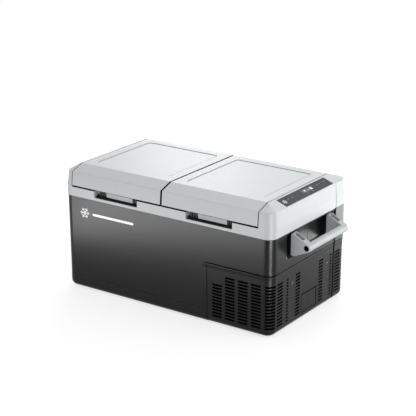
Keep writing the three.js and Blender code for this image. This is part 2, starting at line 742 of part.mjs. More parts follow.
// A steel plate inside each end wall carries the studs that the handle arms screw onto.
function backplate(side, grow) {
  const outside = [side * (BACKPLATE.from - grow), side * (BACKPLATE.to + grow)].sort((a, b) => a - b);
  const reach = BACKPLATE.halfDepth + grow;
  return block(outside, [-reach, reach], [BACKPLATE.z[0] - grow, BACKPLATE.z[1] + grow]);
}

function addBackplates() {
  const studs = handleBolts(2.8, BACKPLATE.from + 1, HANDLE.root + 11);
  for (const [name, side] of [["handle_backplate_right", 1], ["handle_backplate_left", -1]]) {
    const own = union(studs).intersect(side > 0 ? slab(0, 500) : slab(-500, 0));
    add(name, backplate(side, 0).add(own), steel);
  }
}

// ---------------------------------------------------------------- machine bay
const BAY_FLOOR = TRAY_BOTTOM + WALL + GAP;

// An upright post from the bay floor to a given height.
function post(x, y, radius, top) {
  return rod("z", [x, y, (BAY_FLOOR + top) / 2], radius, top - BAY_FLOOR, 8);
}

const COMPRESSOR = { x: 250, y: 95, radius: 68, height: 142, base: 22.8, wall: 7 };

function addCompressor() {
  const { x, y, radius, height, base, wall } = COMPRESSOR;
  const profile = [
    [0, 0], [radius * 0.6, 1], [radius * 0.94, 18], [radius, 40], [radius, 92],
    [radius * 0.9, 118], [radius * 0.6, 136], [0, height],
  ];
  const narrow = (radius - wall) / radius;
  const low = (height - 2 * wall) / height;
  const inside = profile.map(([r, h]) => [r * narrow, wall + h * low]);
  const pot = lathe(profile, 16, [x, y, base]).subtract(lathe(inside, 16, [x, y, base]));
  add("compressor", pot.subtract(rod("z", [x, y, 28], 12, 30, 8)), blackSteel);
  const plate = block([x - 72, x + 72], [y - 62, y + 62], [20, base - GAP]);
  const legs = [-62, 62].flatMap((dx) => [-52, 52].map((dy) => post(x + dx, y + dy, 8, 20.5)));
  add("compressor_plate", union([plate, ...legs]), steel);
}

function addElectronics() {
  const parts = [
    block([180, 300], [-100, 0], [12, 13.8]),
    block([190, 225], [-90, -50], [13, 48]),
    block([235, 290], [-92, -66], [13, 36]),
    block([240, 262], [-50, -12], [13, 42]),
  ];
  for (const px of [188, 292]) parts.push(post(px, -92, 3.5, 12.6), post(px, -8, 3.5, 12.6));
  add("power_board", union(parts), circuitBoard);
}

const CONDENSER = { x: [345, 368], halfDepth: 150, z: [36, 178], fins: 22 };

function addCondenser() {
  const { x, halfDepth, z, fins } = CONDENSER;
  const grooves = [];
  const pitch = (2 * halfDepth) / fins;
  for (let i = 0; i < fins; i++) {
    const y = -halfDepth + (i + 0.5) * pitch;
    grooves.push(block([x[0] - 1, x[0] + 9], [y - pitch / 4, y + pitch / 4], [z[0] + 6, z[1] - 6]));
  }
  const corePlate = without(block(x, [-halfDepth, halfDepth], z), grooves);
  const legs = [-120, 120].map((y) => block([350, 362], [y - 10, y + 10], [BAY_FLOOR, z[0] + 2]));
  add("condenser", union([corePlate, ...legs]), aluminium);
}

const FAN = { x: 312, y: -75, z: 105, half: 60, bore: 56, depth: 25 };

function addFan() {
  const { x, y, z, half, bore, depth } = FAN;
  const middle = [x + depth / 2, y, z];
  const frame = block([x, x + depth], [y - half, y + half], [z - half, z + half]);
  const struts = [
    block([x, x + 3], [y - half + 1, y + half - 1], [z - 4, z + 4]),
    block([x, x + 3], [y - 4, y + 4], [z - half + 1, z + half - 1]),
    rod("x", [x + 1.5, y, z], 21, 3, 16),
    block([x, x + depth], [y - 50, y - 35], [BAY_FLOOR, z - half + 1]),
    block([x, x + depth], [y + 35, y + 50], [BAY_FLOOR, z - half + 1]),
  ];
  const ringFrame = frame.subtract(rod("x", middle, bore, depth + 2, 24));
  add("fan_frame", union([ringFrame, ...struts]), blackPlastic);
  const rotor = [rod("x", [x + 14, y, z], 20, 20, 16)];
  const blades = 7;
  for (let i = 0; i < blades; i++) {
    const blade = new THREE.BoxGeometry(1.6, 20, 38);
    blade.rotateZ(THREE.MathUtils.degToRad(40));
    blade.translate(0, 0, 34);
    blade.rotateX((2 * Math.PI * i) / blades);
    blade.translate(x + 14, y, z);
    rotor.push(solid(blade));
  }
  add("fan_rotor", union(rotor), blackPlastic);
}

function addRefrigerantLoop() {
  const dryer = { x: 326, y: 192 };
  const profile = [[0, 0], [5, 1], [10, 8], [10, 92], [5, 99], [0, 100]];
  const can = lathe(profile, 10, [dryer.x, dryer.y, 50]);
  const run = (points) => tube(points, 3, 10);
  const toCondenser = [
    [250, 165, 100], [262, 184, 112], [300, 178, 150], [345, 165, 158], [356, 154.5, 150],
  ];
  const toDryer = [[356, 154, 60], [350, 170, 46], [336, 190, 36], [326, 192, 44], [326, 192, 54]];
  const toEvaporator = [
    [326, 192, 146], [322, 196, 176], [290, 205, 188], [200, 205, 190], [166, 205, 188],
  ];
  const suction = [[166, 185, 172], [182, 178, 170], [204, 170, 150], [214, 165, 124], [216, 164, 108]];
  add("discharge_pipe", run(toCondenser), copper);
  add("liquid_line", union([can, run(toDryer), run(toEvaporator)]), copper);
  add("suction_pipe", run(suction), copper);
}

function addSockets() {
  const { y, z } = SOCKET_WINDOW;
  const outside = block([394, 402.4], [GAP - y, y - GAP], [z[0] + GAP, z[1] - GAP]);
  const inside = block([397, 410], [3 - y, y - 3], [z[0] + 3, z[1] - 3]);
  const inlets = { ac_inlet: [[-38, -2], [-30, -10]], dc_inlet: [[2, 42], [10, 34]] };
  const holes = [];
  for (const [name, [across, mouth]] of Object.entries(inlets)) {
    const height = [18, 57];
    holes.push(block([390, 400], [across[0] - GAP, across[1] + GAP], [height[0] - GAP, height[1] + GAP]));
    const housing = block([374, 400], across, height);
    add(name, housing.subtract(block([384, 401], mouth, [26, 46])), blackPlastic);
  }
  add("socket_panel", without(outside.subtract(inside), holes), darkPlastic);
}

// Two rubber-hinged dust flaps hang from the top of the socket recess.
const FLAPS = { x: [401, 403.2], z: [14.2, 71.5], tab: [402.5, 404.2] };

function addSocketFlaps() {
  const sides = { ac_flap: [-42.8, -0.6], dc_flap: [0.6, 42.8] };
  for (const [name, [near, far]] of Object.entries(sides)) {
    const middle = (near + far) / 2;
    const tab = block(FLAPS.tab, [middle - 8, middle + 8], [15.5, 18.5]);
    add(name, block(FLAPS.x, [near, far], FLAPS.z).add(tab), darkPlastic);
  }
}

function addInteriorLights() {
  add("interior_light_left", block([-39, -35], [-22, 22], [316, 326]), ledLens);
  add("interior_light_right", block([326.5, 330.5], [-22, 22], [316, 326]), ledLens);
}

// ---------------------------------------------------------------- baskets
// A lift-out basket of square wire: hoops at three heights and U-shaped wires both ways.
function addBasket(name, [x0, x1], alongX) {
  const wire = 3;
  const y = 172;
  const [low, high] = [56, 300];
  const inX = [x0 + wire, x1 - wire];
  const inY = [wire - y, y - wire];
  const aboveFloor = [low + wire, high + 9];
  const pieces = [];
  for (const z of [low + wire, high]) {
    const outer = block([x0, x1], [-y, y], [z - wire, z]);
    pieces.push(outer.subtract(block(inX, inY, [z - 9, z + 9])));
  }
  for (let i = 1; i < alongX; i++) {
    const x = x0 + ((x1 - x0) * i) / alongX;
    const outer = block([x - wire / 2, x + wire / 2], [-y, y], [low, high]);
    pieces.push(outer.subtract(block([x - wire, x + wire], inY, aboveFloor)));
  }
  for (const v of [-y / 2, 0, y / 2]) {
    const outer = block([x0, x1], [v - wire / 2, v + wire / 2], [low, high]);
    pieces.push(outer.subtract(block(inX, [v - wire, v + wire], aboveFloor)));
  }
  add(name, union(pieces), whiteWire);
}

// ---------------------------------------------------------------- build everything
addOuterShell();
addBaseTray();
addFeet();
addVentCover();
addFoam();
addPartition();
for (const side of ["left", "right"]) {
  addLiner(side);
  addEvaporator(side);
  addLid(side);
}
addTopFrame();
addHingePins();
addControlPanel();
addHandle(1);
addHandle(-1);
addBackplates();
addCompressor();
addElectronics();
addCondenser();
addFan();
addRefrigerantLoop();
addSockets();
addSocketFlaps();
addInteriorLights();
addBasket("basket_left", [-336, -48], 4);
addBasket("basket_right", [27, 126], 3);

cooler.position.z = -FLOOR;

export default cooler;
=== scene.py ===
"""Looks for the dual-zone compressor cooler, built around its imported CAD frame.

Sizes are in millimetres and turn into metres when a mesh is made.
"""
import json
import math

import bmesh
import bpy
from mathutils import Matrix, Vector


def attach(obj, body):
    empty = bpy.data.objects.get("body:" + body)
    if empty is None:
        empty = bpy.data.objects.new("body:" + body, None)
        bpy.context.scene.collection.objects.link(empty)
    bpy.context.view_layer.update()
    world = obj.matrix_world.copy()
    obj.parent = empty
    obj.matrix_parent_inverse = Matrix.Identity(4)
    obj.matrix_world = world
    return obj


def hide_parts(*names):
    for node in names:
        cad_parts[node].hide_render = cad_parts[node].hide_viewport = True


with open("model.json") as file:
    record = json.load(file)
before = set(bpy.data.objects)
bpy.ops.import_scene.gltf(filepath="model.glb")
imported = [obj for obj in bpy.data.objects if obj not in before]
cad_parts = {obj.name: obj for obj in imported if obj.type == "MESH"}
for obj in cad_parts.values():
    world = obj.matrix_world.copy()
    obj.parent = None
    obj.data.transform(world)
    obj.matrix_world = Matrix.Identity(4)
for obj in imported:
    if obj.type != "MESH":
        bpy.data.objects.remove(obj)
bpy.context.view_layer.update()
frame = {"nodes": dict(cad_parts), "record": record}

MM = 0.001

# ---- sizes shared with the CAD, in mm
HALF_LENGTH, HALF_DEPTH = 408, 234
CORNER_RADIUS = 31
WALL = 3
GAP = 0.3
FLOOR = -14  # heights are measured from a datum above the floor; piece() lifts each one
TRAY_BOTTOM, TRAY_TOP = -11, 31.5
VENT_TOP, VENT_START = 192, 167
FRAME_BOTTOM, LEDGE = 310.7, 342.5
SKIRT_BOTTOM, CHAMFER_FOOT, HEIGHT = 346.7, 394, 411.1
SKIRT_LEAN = 4.2
TOP_HALF_DEPTH, TOP_LEFT, TOP_RIGHT = 179.1, 377, 357.6
EDGE_ROUND = 18
BODY_STEP, BODY_DRAFT = 1, 1.7
FRAME_END_LEFT, FRAME_END_RIGHT = -374.9, 357.3
MOUTH_Y, MOUTH_RADIUS = 188, 18
LINER_FLOOR, SHALLOW_FLOOR, DEEP_END, LINER_RIM, LINER_DRAFT = 48, 232, 138, 338.8, 6
GRIP_DEPTH, GRIP_FLOOR = 22, 320.5
LATCH = (225.5, 341)
GROOVE_Y, GROOVE_WIDTH, GROOVE_DEPTH = 152, 9, 1.8
HALVES = {
    "left": {"lid": (-372.4, -12.0), "mouth": (-350, -34), "grip": (-279, -104),
             "knuckles": ((-260.7, -233.4), (-124.6, -108.5))},
    "right": {"lid": (-5.0, 354.5), "mouth": (17, 332), "grip": (88, 262.6),
              "knuckles": ((102.3, 130.5), (241.4, 257.1))},
}
LOUVRE_FIRST, LOUVRE_PITCH, LOUVRE_ROWS, LOUVRE_HALF = 16.9, 10.58, 14, 3.25
FRONT_LOUVRES = ((186.8, 224.4, 11), (235, 272.6, 14), (283.2, 320.8, 14), (331.4, 369, 14))
END_LOUVRES = ((57.5, 85.2), (128.1, 139.9), (160.5, 193.7))
CORNER_LOUVRE = (381.5, 201)
COVER_SCREW = (107.4, 133.7)
SCOOP_HALF, SCOOP_BOTTOM, SCOOP_TOP, SCOOP_DEPTH = 147, 225, 307, 24
HANDLE_ROOT, HANDLE_INNER, HANDLE_OUTER, BAR_RADIUS = 404.8, 96, 121, 13.8
BAR = (459.9, 264.2)
PANEL_LENGTH, PANEL_WIDTH, PANEL_RECESS, PANEL_FROM_FOOT = 285, 40, 1.2, 22.7
BUTTONS = {"power": -98, "set": 61, "minus": 92, "plus": 118}
MARK_LINE = -4.5
DISPLAY_X, DISPLAY_Y, DISPLAY_HALF = -4, (-16, 50), 8


# ---- mesh helpers
def make(name, verts, faces):
    """A closed mesh object from millimetre points."""
    mesh = bpy.data.meshes.new(name)
    mesh.from_pydata([[c * MM for c in v] for v in verts], [], faces)
    bm = bmesh.new()
    bm.from_mesh(mesh)
    bmesh.ops.remove_doubles(bm, verts=bm.verts, dist=1e-6)
    bmesh.ops.recalc_face_normals(bm, faces=bm.faces)
    bm.to_mesh(mesh)
    bm.free()
    obj = bpy.data.objects.new(name, mesh)
    bpy.context.scene.collection.objects.link(obj)
    return obj


def skin(rings, closed=False):
    """Points and faces of a tube through rings of equal length, capped unless it closes on itself."""
    count = len(rings[0])
    faces = []
    spans = len(rings) if closed else len(rings) - 1
    for level in range(spans):
        low, high = level * count, (level + 1) % len(rings) * count
        for i in range(count):
            j = (i + 1) % count
            faces.append((low + i, low + j, high + j, high + i))
    if not closed:
        faces.append(tuple(range(count)))
        faces.append(tuple((len(rings) - 1) * count + i for i in range(count)))
    return [p for r in rings for p in r], faces


def ring(x0, x1, y, radius, z, steps=12):
    """A rounded rectangle at one height, centred on y = 0."""
    r = max(radius, 0.8)
    corners = ((x1 - r, y - r), (x0 + r, y - r), (x0 + r, r - y), (x1 - r, r - y))
    points = []
    for corner, (cx, cy) in enumerate(corners):
        for i in range(steps + 1):
            a = (corner + i / steps) * math.pi / 2
            points.append((cx + r * math.cos(a), cy + r * math.sin(a), z))
    return points


def loft(name, levels, steps=12):
    """A closed skin over stacked rounded rectangles (x0, x1, y, radius, z)."""
    return make(name, *skin([ring(*level, steps) for level in levels]))


def bend(start, corner, end, steps):
    """Points of the curve that leaves start towards the corner and turns into end."""
    points = []
    for k in range(steps + 1):
        s = k / steps
        points.append([a * (1 - s) ** 2 + c * 2 * s * (1 - s) + b * s * s
                       for a, c, b in zip(start, corner, end)])
    return points


def eased(levels, reach, steps=4):
    """The same levels with each inner one rounded off over its reach."""
    out = [levels[0]]
    for i in range(1, len(levels) - 1):
        before, here, after = levels[i - 1], levels[i], levels[i + 1]
        if reach[i - 1] <= 0:
            out.append(here)
            continue
        pa = min(0.48, reach[i - 1] / math.dist(before[2:], here[2:]))
        pb = min(0.48, reach[i - 1] / math.dist(after[2:], here[2:]))
        start = [h + (b - h) * pa for h, b in zip(here, before)]
        end = [h + (b - h) * pb for h, b in zip(here, after)]
        out += bend(start, here, end, steps)
    out.append(levels[-1])
    return out


def rounded(points, radii, steps=4):
    """A closed outline with its corners turned into curves; radii is one number or one per corner."""
    if not isinstance(radii, (list, tuple)):
        radii = [radii] * len(points)
    out = []
    for i, radius in enumerate(radii):
        here = Vector(points[i])
        a = Vector(points[i - 1]) - here
        b = Vector(points[(i + 1) % len(points)]) - here
        reach = min(radius / math.tan(a.angle(b) / 2), 0.48 * a.length, 0.48 * b.length)
        if reach < 0.02:
            out.append(tuple(here))
            continue
        start, end = here + a.normalized() * reach, here + b.normalized() * reach
        out += [tuple(point) for point in bend(start, here, end, steps)]
    return out


def rect(x, y, radii=0, steps=4):
    """The outline of a rectangle over two (low, high) spans."""
    corners = [(x[0], y[0]), (x[1], y[0]), (x[1], y[1]), (x[0], y[1])]
    return rounded(corners, radii, steps) if radii else corners


def mirrored(points, sign):
    """The same outline on the side of the middle that sign gives."""
    return [(sign * u, v) for u, v in points]


def span(sign, a, b):
    """Two places on the side of the middle that sign gives, the lower first."""
    return sorted((sign * a, sign * b))


def shrunk(outline, d):
    """A counter-clockwise outline pushed inwards by d."""
    out = []
    count = len(outline)
    for i in range(count):
        a, p, b = Vector(outline[i - 1]), Vector(outline[i]), Vector(outline[(i + 1) % count])
        e0, e1 = (p - a).normalized(), (b - p).normalized()
        n0, n1 = Vector((-e0.y, e0.x)), Vector((-e1.y, e1.x))
        miter = (n0 + n1).normalized()
        out.append(tuple(p + miter * d / max(0.35, miter.dot(n0))))
    return out


def sweep(name, outline, axis, stations):
    """An outline pushed along an axis through (position, inset) stations.

    Outline points are (y, z) for x, (x, z) for y and (x, y) for z."""
    area = sum(a[0] * b[1] - b[0] * a[1] for a, b in zip(outline, outline[1:] + outline[:1]))
    if area < 0:
        outline = outline[::-1]
    orders = {
        "x": lambda u, v, w: (w, u, v),
        "y": lambda u, v, w: (u, w, v),
        "z": lambda u, v, w: (u, v, w),
    }
    place = orders[axis]
    rings = []
    for position, inset in stations:
        line = shrunk(outline, inset) if inset else outline
        rings.append([place(u, v, position) for u, v in line])
    return make(name, *skin(rings))


def soft_ends(a, b, edge, steps=3):
    """Stations for sweep() that round both ends off."""
    near = [(a + edge * (1 - math.sin(t)), edge * (1 - math.cos(t)))
            for t in [math.pi / 2 * (steps - k) / steps for k in range(steps + 1)]]
    far = [(a + b - position, inset) for position, inset in reversed(near)]
    return near + far


def box(x, y, z, name="box"):
    """A cutting block."""
    return sweep(name, rect(x, y), "z", [(z[0], 0), (z[1], 0)])


def turned(name, profile, axis, centre, segments=48):
    """A solid of revolution; the profile is (radius, distance along the axis)."""
    rings = []
    for r, w in profile:
        line = []
        for i in range(segments):
            t = 2 * math.pi * i / segments
            u, v = r * math.cos(t), r * math.sin(t)
            offset = {"x": (w, u, v), "y": (v, w, u), "z": (u, v, w)}[axis]
            line.append([c + o for c, o in zip(centre, offset)])
        rings.append(line)
    return make(name, *skin(rings))


def rod(axis, centre, radius, length, segments=32):
    return turned("rod", [(radius, -length / 2), (radius, length / 2)], axis, centre, segments)


def hoop(name, section, x0, x1, y, radius, steps=10):
    """A seal or bead: a closed (outset, z) section carried round a rounded rectangle."""
    rings = [ring(x0 - o, x1 + o, y + o, radius + o, z, steps) for o, z in section]
    return make(name, *skin(rings, closed=True))


def boolean(obj, tool, operation):
    modifier = obj.modifiers.new("boolean", "BOOLEAN")
    modifier.operation = operation
    modifier.solver = "MANIFOLD"
    modifier.object = tool
    graph = bpy.context.evaluated_depsgraph_get()
    mesh = bpy.data.meshes.new_from_object(obj.evaluated_get(graph))
    obj.modifiers.clear()
    old, obj.data = obj.data, mesh
    bpy.data.meshes.remove(old)
    bpy.data.objects.remove(tool)
    return obj


def cut(obj, *tools):
    for tool in tools:
        boolean(obj, tool, "DIFFERENCE")
    return obj


def join(obj, *tools):
    for tool in tools:
        boolean(obj, tool, "UNION")
    return obj


def common(obj, tool):
    return boolean(obj, tool, "INTERSECT")


def together(name, objects):
    """Separate closed bodies gathered into one object."""
    bm = bmesh.new()
    for obj in objects:
        bm.from_mesh(obj.data)
        mesh = obj.data
        bpy.data.objects.remove(obj)
        bpy.data.meshes.remove(mesh)
    mesh = bpy.data.meshes.new(name)
    bm.to_mesh(mesh)
    bm.free()
    obj = bpy.data.objects.new(name, mesh)
    bpy.context.scene.collection.objects.link(obj)
    return obj


def placed(obj, matrix):
    """Moves the mesh itself; the matrix is in millimetres."""
    scale = Matrix.Scale(MM, 4)
    obj.data.transform(scale @ matrix @ scale.inverted())
    return obj


def bevel(obj, test, width, segments=2, angle=30):
    """Rounds the sharp edges whose middle point (mm) passes the test."""
    bm = bmesh.new()
    bm.from_mesh(obj.data)
    picked = []
    for edge in bm.edges:
        if len(edge.link_faces) == 2 and edge.calc_face_angle(0) > math.radians(angle):
            a, b = (v.co / MM for v in edge.verts)
            if test(a, b):
                picked.append(edge)
    bmesh.ops.bevel(bm, geom=picked, offset=width * MM, segments=segments, profile=0.5,
                    affect="EDGES", clamp_overlap=False)
    bm.to_mesh(obj.data)
    bm.free()
    return obj


def at_x(*planes):
    """A test for bevel(): the edge lies in one of these upright planes."""
    return lambda a, b: any(abs(a.x - x) < 0.05 and abs(b.x - x) < 0.05 for x in planes)


def smooth(obj, angle=32):
    for polygon in obj.data.polygons:
        polygon.use_smooth = True
    obj.data.set_sharp_from_angle(angle=math.radians(angle))
    normals = obj.modifiers.new("normals", "WEIGHTED_NORMAL")
    normals.keep_sharp = True
    normals.weight = 80


def piece(obj, name, body, material, replaces=(), angle=32):
    """Names a finished shape, shades it and hands it to its body."""
    obj.name = name
    obj.data.name = name
    obj.data.transform(Matrix.Translation((0, 0, -FLOOR * MM)))
    obj.data.materials.clear()
    obj.data.materials.append(materials[material])
    for polygon in obj.data.polygons:
        polygon.material_index = 0
    smooth(obj, angle)
    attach(obj, body)
    if replaces:
        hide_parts(*replaces)
    return obj


# ---- materials
materials = {}


def surface(name, colour, roughness, metallic=0.0, mottle=0.03, cloud=40, grain=0.6, depth=0.02,
            rough_spread=0.05, streak=None, **sockets):
    """A procedural finish: soft mottling of the colour, uneven gloss and a fine moulded grain."""
    material = bpy.data.materials.new(name)
    material.use_nodes = True
    tree = material.node_tree
    shader = tree.nodes["Principled BSDF"]
    coords = tree.nodes.new("ShaderNodeTexCoord")
    source = coords.outputs["Object"]
    if streak:
        mapping = tree.nodes.new("ShaderNodeMapping")
        mapping.inputs["Scale"].default_value = streak
        tree.links.new(source, mapping.inputs["Vector"])
        source = mapping.outputs["Vector"]

    def noise(size, detail):
        node = tree.nodes.new("ShaderNodeTexNoise")
        node.inputs["Scale"].default_value = 1 / (size * MM)
        node.inputs["Detail"].default_value = detail
        tree.links.new(source, node.inputs["Vector"])
        return node.outputs["Fac"]

    broad = noise(cloud, 3)
    ramp = tree.nodes.new("ShaderNodeValToRGB")
    ramp.color_ramp.elements[0].position = 0.3
    ramp.color_ramp.elements[1].position = 0.7
    ramp.color_ramp.elements[0].color = [c * (1 - mottle) for c in colour] + [1]
    ramp.color_ramp.elements[1].color = [min(1, c * (1 + mottle)) for c in colour] + [1]
    tree.links.new(broad, ramp.inputs["Fac"])
    tree.links.new(ramp.outputs["Color"], shader.inputs["Base Color"])
    gloss = tree.nodes.new("ShaderNodeMapRange")
    gloss.inputs["To Min"].default_value = max(0.02, roughness - rough_spread)
    gloss.inputs["To Max"].default_value = roughness + rough_spread
    tree.links.new(noise(cloud * 0.35, 4), gloss.inputs["Value"])
    tree.links.new(gloss.outputs["Result"], shader.inputs["Roughness"])
    bump = tree.nodes.new("ShaderNodeBump")
    bump.inputs["Strength"].default_value = 0.5
    bump.inputs["Distance"].default_value = depth * MM
    tree.links.new(noise(grain, 2), bump.inputs["Height"])
    tree.links.new(bump.outputs["Normal"], shader.inputs["Normal"])
    shader.inputs["Metallic"].default_value = metallic
    for socket, value in sockets.items():
        shader.inputs[socket.replace("_", " ")].default_value = value
    materials[name] = material
    return material


def add_materials():
    surface("light_plastic", (0.482, 0.495, 0.503), 0.42, mottle=0.012, grain=0.7,
            Specular_IOR_Level=0.09)
    surface("dark_plastic", (0.0070, 0.0076, 0.0072), 0.30, grain=0.5, depth=0.002,
            rough_spread=0.008, Specular_IOR_Level=0.11)
    surface("black_plastic", (0.003, 0.003, 0.003), 0.5, mottle=0.08, grain=0.9, depth=0.03,
            Specular_IOR_Level=0.06)
    surface("handle_plastic", (0.42, 0.44, 0.45), 0.42, mottle=0.015, grain=0.7,
            Specular_IOR_Level=0.07)
    surface("liner_plastic", (0.72, 0.73, 0.73), 0.30, mottle=0.012, grain=1.2, depth=0.01)
    surface("panel_film", (0.024, 0.024, 0.027), 0.5, mottle=0.04, grain=0.4, depth=0.01,
            Specular_IOR_Level=0.08)
    surface("foam", (0.72, 0.64, 0.34), 0.85, mottle=0.12, cloud=15, grain=1.4, depth=0.3)
    surface("rubber", (0.006, 0.006, 0.006), 0.75, mottle=0.15, grain=0.5, depth=0.04,
            Specular_IOR_Level=0.15)
    # a dark grey that paints the shade inside the grip pockets
    surface("grip_shade_dark", (0.035, 0.037, 0.038), 0.5, mottle=0.05, grain=0.9,
            Specular_IOR_Level=0.15)
    # a near-black with no gloss: the colour of the black sheets and strips that paint shade in gaps, pockets
    # and holes, and of the black strip in the end wall's channel
    surface("matt_black", (0.0012, 0.0012, 0.0012), 0.9, mottle=0.2, grain=0.8, depth=0.05,
            Specular_IOR_Level=0.0)
    surface("steel", (0.50, 0.51, 0.52), 0.32, metallic=1.0, mottle=0.05, streak=(1, 12, 12), depth=0.01)
    surface("black_steel", (0.014, 0.014, 0.016), 0.35, mottle=0.08, grain=1.0, depth=0.04)
    surface("aluminium", (0.60, 0.61, 0.62), 0.34, metallic=1.0, mottle=0.06, streak=(12, 1, 12),
            depth=0.01)
    surface("copper", (0.72, 0.32, 0.18), 0.28, metallic=1.0, mottle=0.12, cloud=12, depth=0.01)
    surface("circuit_board", (0.015, 0.10, 0.04), 0.4, mottle=0.2, cloud=6, grain=1.0, depth=0.05)
    surface("smoked_glass", (0.012, 0.012, 0.014), 0.3, mottle=0.1, depth=0.002, Specular_IOR_Level=0.1)
    surface("led_lens", (0.62, 0.70, 0.62), 0.22, mottle=0.05, grain=0.4, depth=0.01)
    surface("led_lit", (0.10, 0.55, 0.14), 0.25, mottle=0.05, grain=0.4, depth=0.01,
            Emission_Color=(0.12, 0.9, 0.2, 1), Emission_Strength=0.5)
    surface("led_dark", (0.05, 0.05, 0.055), 0.25, mottle=0.1, grain=0.4, depth=0.01)
    surface("digit_lit", (0.8, 0.82, 0.84), 0.4, mottle=0.02, grain=0.4, depth=0.01,
            Emission_Color=(0.9, 0.95, 1, 1), Emission_Strength=0.5)
    surface("print_grey", (0.62, 0.63, 0.64), 0.45, mottle=0.03, grain=0.5, depth=0.01)
    surface("basket_wire", (0.76, 0.77, 0.77), 0.28, mottle=0.03, cloud=20, grain=1.5, depth=0.03)


# ---- outside envelopes
def edge_inset(z):
    rise = min(max(0, EDGE_ROUND - (z - TRAY_BOTTOM)), EDGE_ROUND)
    return EDGE_ROUND - math.sqrt(EDGE_ROUND ** 2 - rise ** 2)


def body_level(z, inset):
    edge = edge_inset(z)
    total = BODY_STEP + BODY_DRAFT * (FRAME_BOTTOM - z) / FRAME_BOTTOM + edge + inset
    return (total - HALF_LENGTH, HALF_LENGTH - total, HALF_DEPTH - total, CORNER_RADIUS - edge - inset, z)


CURL = [TRAY_BOTTOM + EDGE_ROUND * (1 - math.cos(math.radians(a))) for a in range(0, 91, 15)]


def body_levels(low, high, inset, rim=0.8):
    """Levels of the body's skin from low to high, with small rounded rims and the curled-in bottom edge."""
    inner = [z for z in CURL if low + 0.5 < z < high - rim]
    levels = [body_level(low, inset + rim)] if low > 25 else []
    levels.append(body_level(low + (rim if low > 25 else 0), inset))
    levels += [body_level(z, inset) for z in inner]
    levels.append(body_level(high - rim, inset))
    levels.append(body_level(high - 0.3 * rim, inset + 0.3 * rim))
    levels.append(body_level(high, inset + rim))
    return levels


def crown_levels(inset):
    foot = HALF_LENGTH - SKIRT_LEAN
    run_in = 40
    top = (-(TOP_LEFT - inset * 1.8), TOP_RIGHT - inset * 2.9, TOP_HALF_DEPTH - inset * 3.1)
    length, depth, radius = HALF_LENGTH - inset, HALF_DEPTH - inset, CORNER_RADIUS - inset
    return [
        (-length, length, depth, radius, FRAME_BOTTOM + 1),
        (-length, length, depth, radius, SKIRT_BOTTOM),
        (-foot + inset, foot - inset, depth - SKIRT_LEAN, radius, CHAMFER_FOOT - inset / 2),
        (top[0], top[1], top[2], 0.8, HEIGHT - inset),
        (top[0] + run_in, top[1] - run_in, top[2] - run_in, 0.8, HEIGHT - inset),
    ]


# ---- dark body
def smooth_min(a, b, k):
    """The lesser of two numbers, with the changeover rounded off over k."""
    share = max(0, min(1, 0.5 + 0.5 * (b - a) / k))
    return b + (a - b) * share - k * share * (1 - share)


def smooth_step(t):
    t = max(0, min(1, t))
    return t * t * (3 - 2 * t)


def scoop_depth(y, z):
    """How deep the hollow behind a handle is at a place on the end wall."""
    side = abs(y)
    across = 25 * smooth_step((SCOOP_HALF - side) / 32)
    rise = z - SCOOP_BOTTOM
    upward = 9 * smooth_step((rise + 2) / 18) + rise * (0.08 + 0.28 * smooth_step((side - 50) / 60))
    return smooth_min(across, min(upward, 0.69 * rise + 1), 2 + 5 * smooth_step(rise / 20)) + 1.4


def scoop(side, grow=0):
    """The hollow as a closed cutter; side is 1 for the right end."""
    columns, rows = 72, 34
    reach, outside = SCOOP_HALF + grow, side * (HALF_LENGTH + 25)
    low, high = SCOOP_BOTTOM - grow, SCOOP_TOP + (8 if grow else 0)
    rings = []
    for j in range(rows + 1):
        z = low + (high - low) * j / rows
        line = []
        for i in range(columns + 1):
            y = -reach + 2 * reach * i / columns
            depth = min(SCOOP_DEPTH, scoop_depth(y, z)) + grow
            line.append((side * (HALF_LENGTH - BODY_STEP - depth), y, z))
        rings.append(line + [(outside, reach, z), (outside, -reach, z)])
    return make("scoop", *skin(rings))


def groove_cutter(low, high, inset):
    """The upright channel near the rear of the right end, flared at its mouth."""
    heights = [low - 3] + [z for z in CURL if low < z < high] + [high + 3]
    rings = []
    for z in heights:
        level = body_level(max(z, TRAY_BOTTOM), inset)
        skin_x = level[1]
        half = GROOVE_WIDTH / 2
        section = [(6, half + 0.7), (0, half + 0.7), (-0.7, half - 0.1), (-GROOVE_DEPTH, half - 0.6)]
        line = [(skin_x + o, GROOVE_Y + h, z) for o, h in section]
        line += [(skin_x + o, GROOVE_Y - h, z) for o, h in reversed(section)]
        rings.append(line)
    return make("groove", *skin(rings))


def add_groove_black_strip():
    """The black strip that lies in the bottom of the upright channel."""
    rings = []
    for z in (*CURL[3:], VENT_TOP - 4, VENT_TOP + 4, FRAME_BOTTOM - 1.5):
        base = body_level(z, 1.4 if z < VENT_TOP else 0)[1] - GROOVE_DEPTH - 0.4
        y0, y1 = GROOVE_Y - GROOVE_WIDTH / 2 + 0.9, GROOVE_Y + GROOVE_WIDTH / 2 - 0.9
        rings.append([(base, y0, z), (base + 1.0, y0, z), (base + 1.0, y1, z), (base, y1, z)])
    piece(make("groove_black_strip", *skin(rings)), "groove_black_strip", "cabinet", "matt_black")


def pillars(side):
    """The solid posts of the shell that a handle's arms are screwed to."""
    a, b = span(side, 382, HANDLE_ROOT - GAP)
    blocks = []
    for sign in (-1, 1):
        outline = rect(span(sign, HANDLE_INNER, HANDLE_OUTER), (232, 303), 3)
        blocks.append(sweep("pillar", outline, "x", [(a, 0), (b, 0)]))
    return blocks


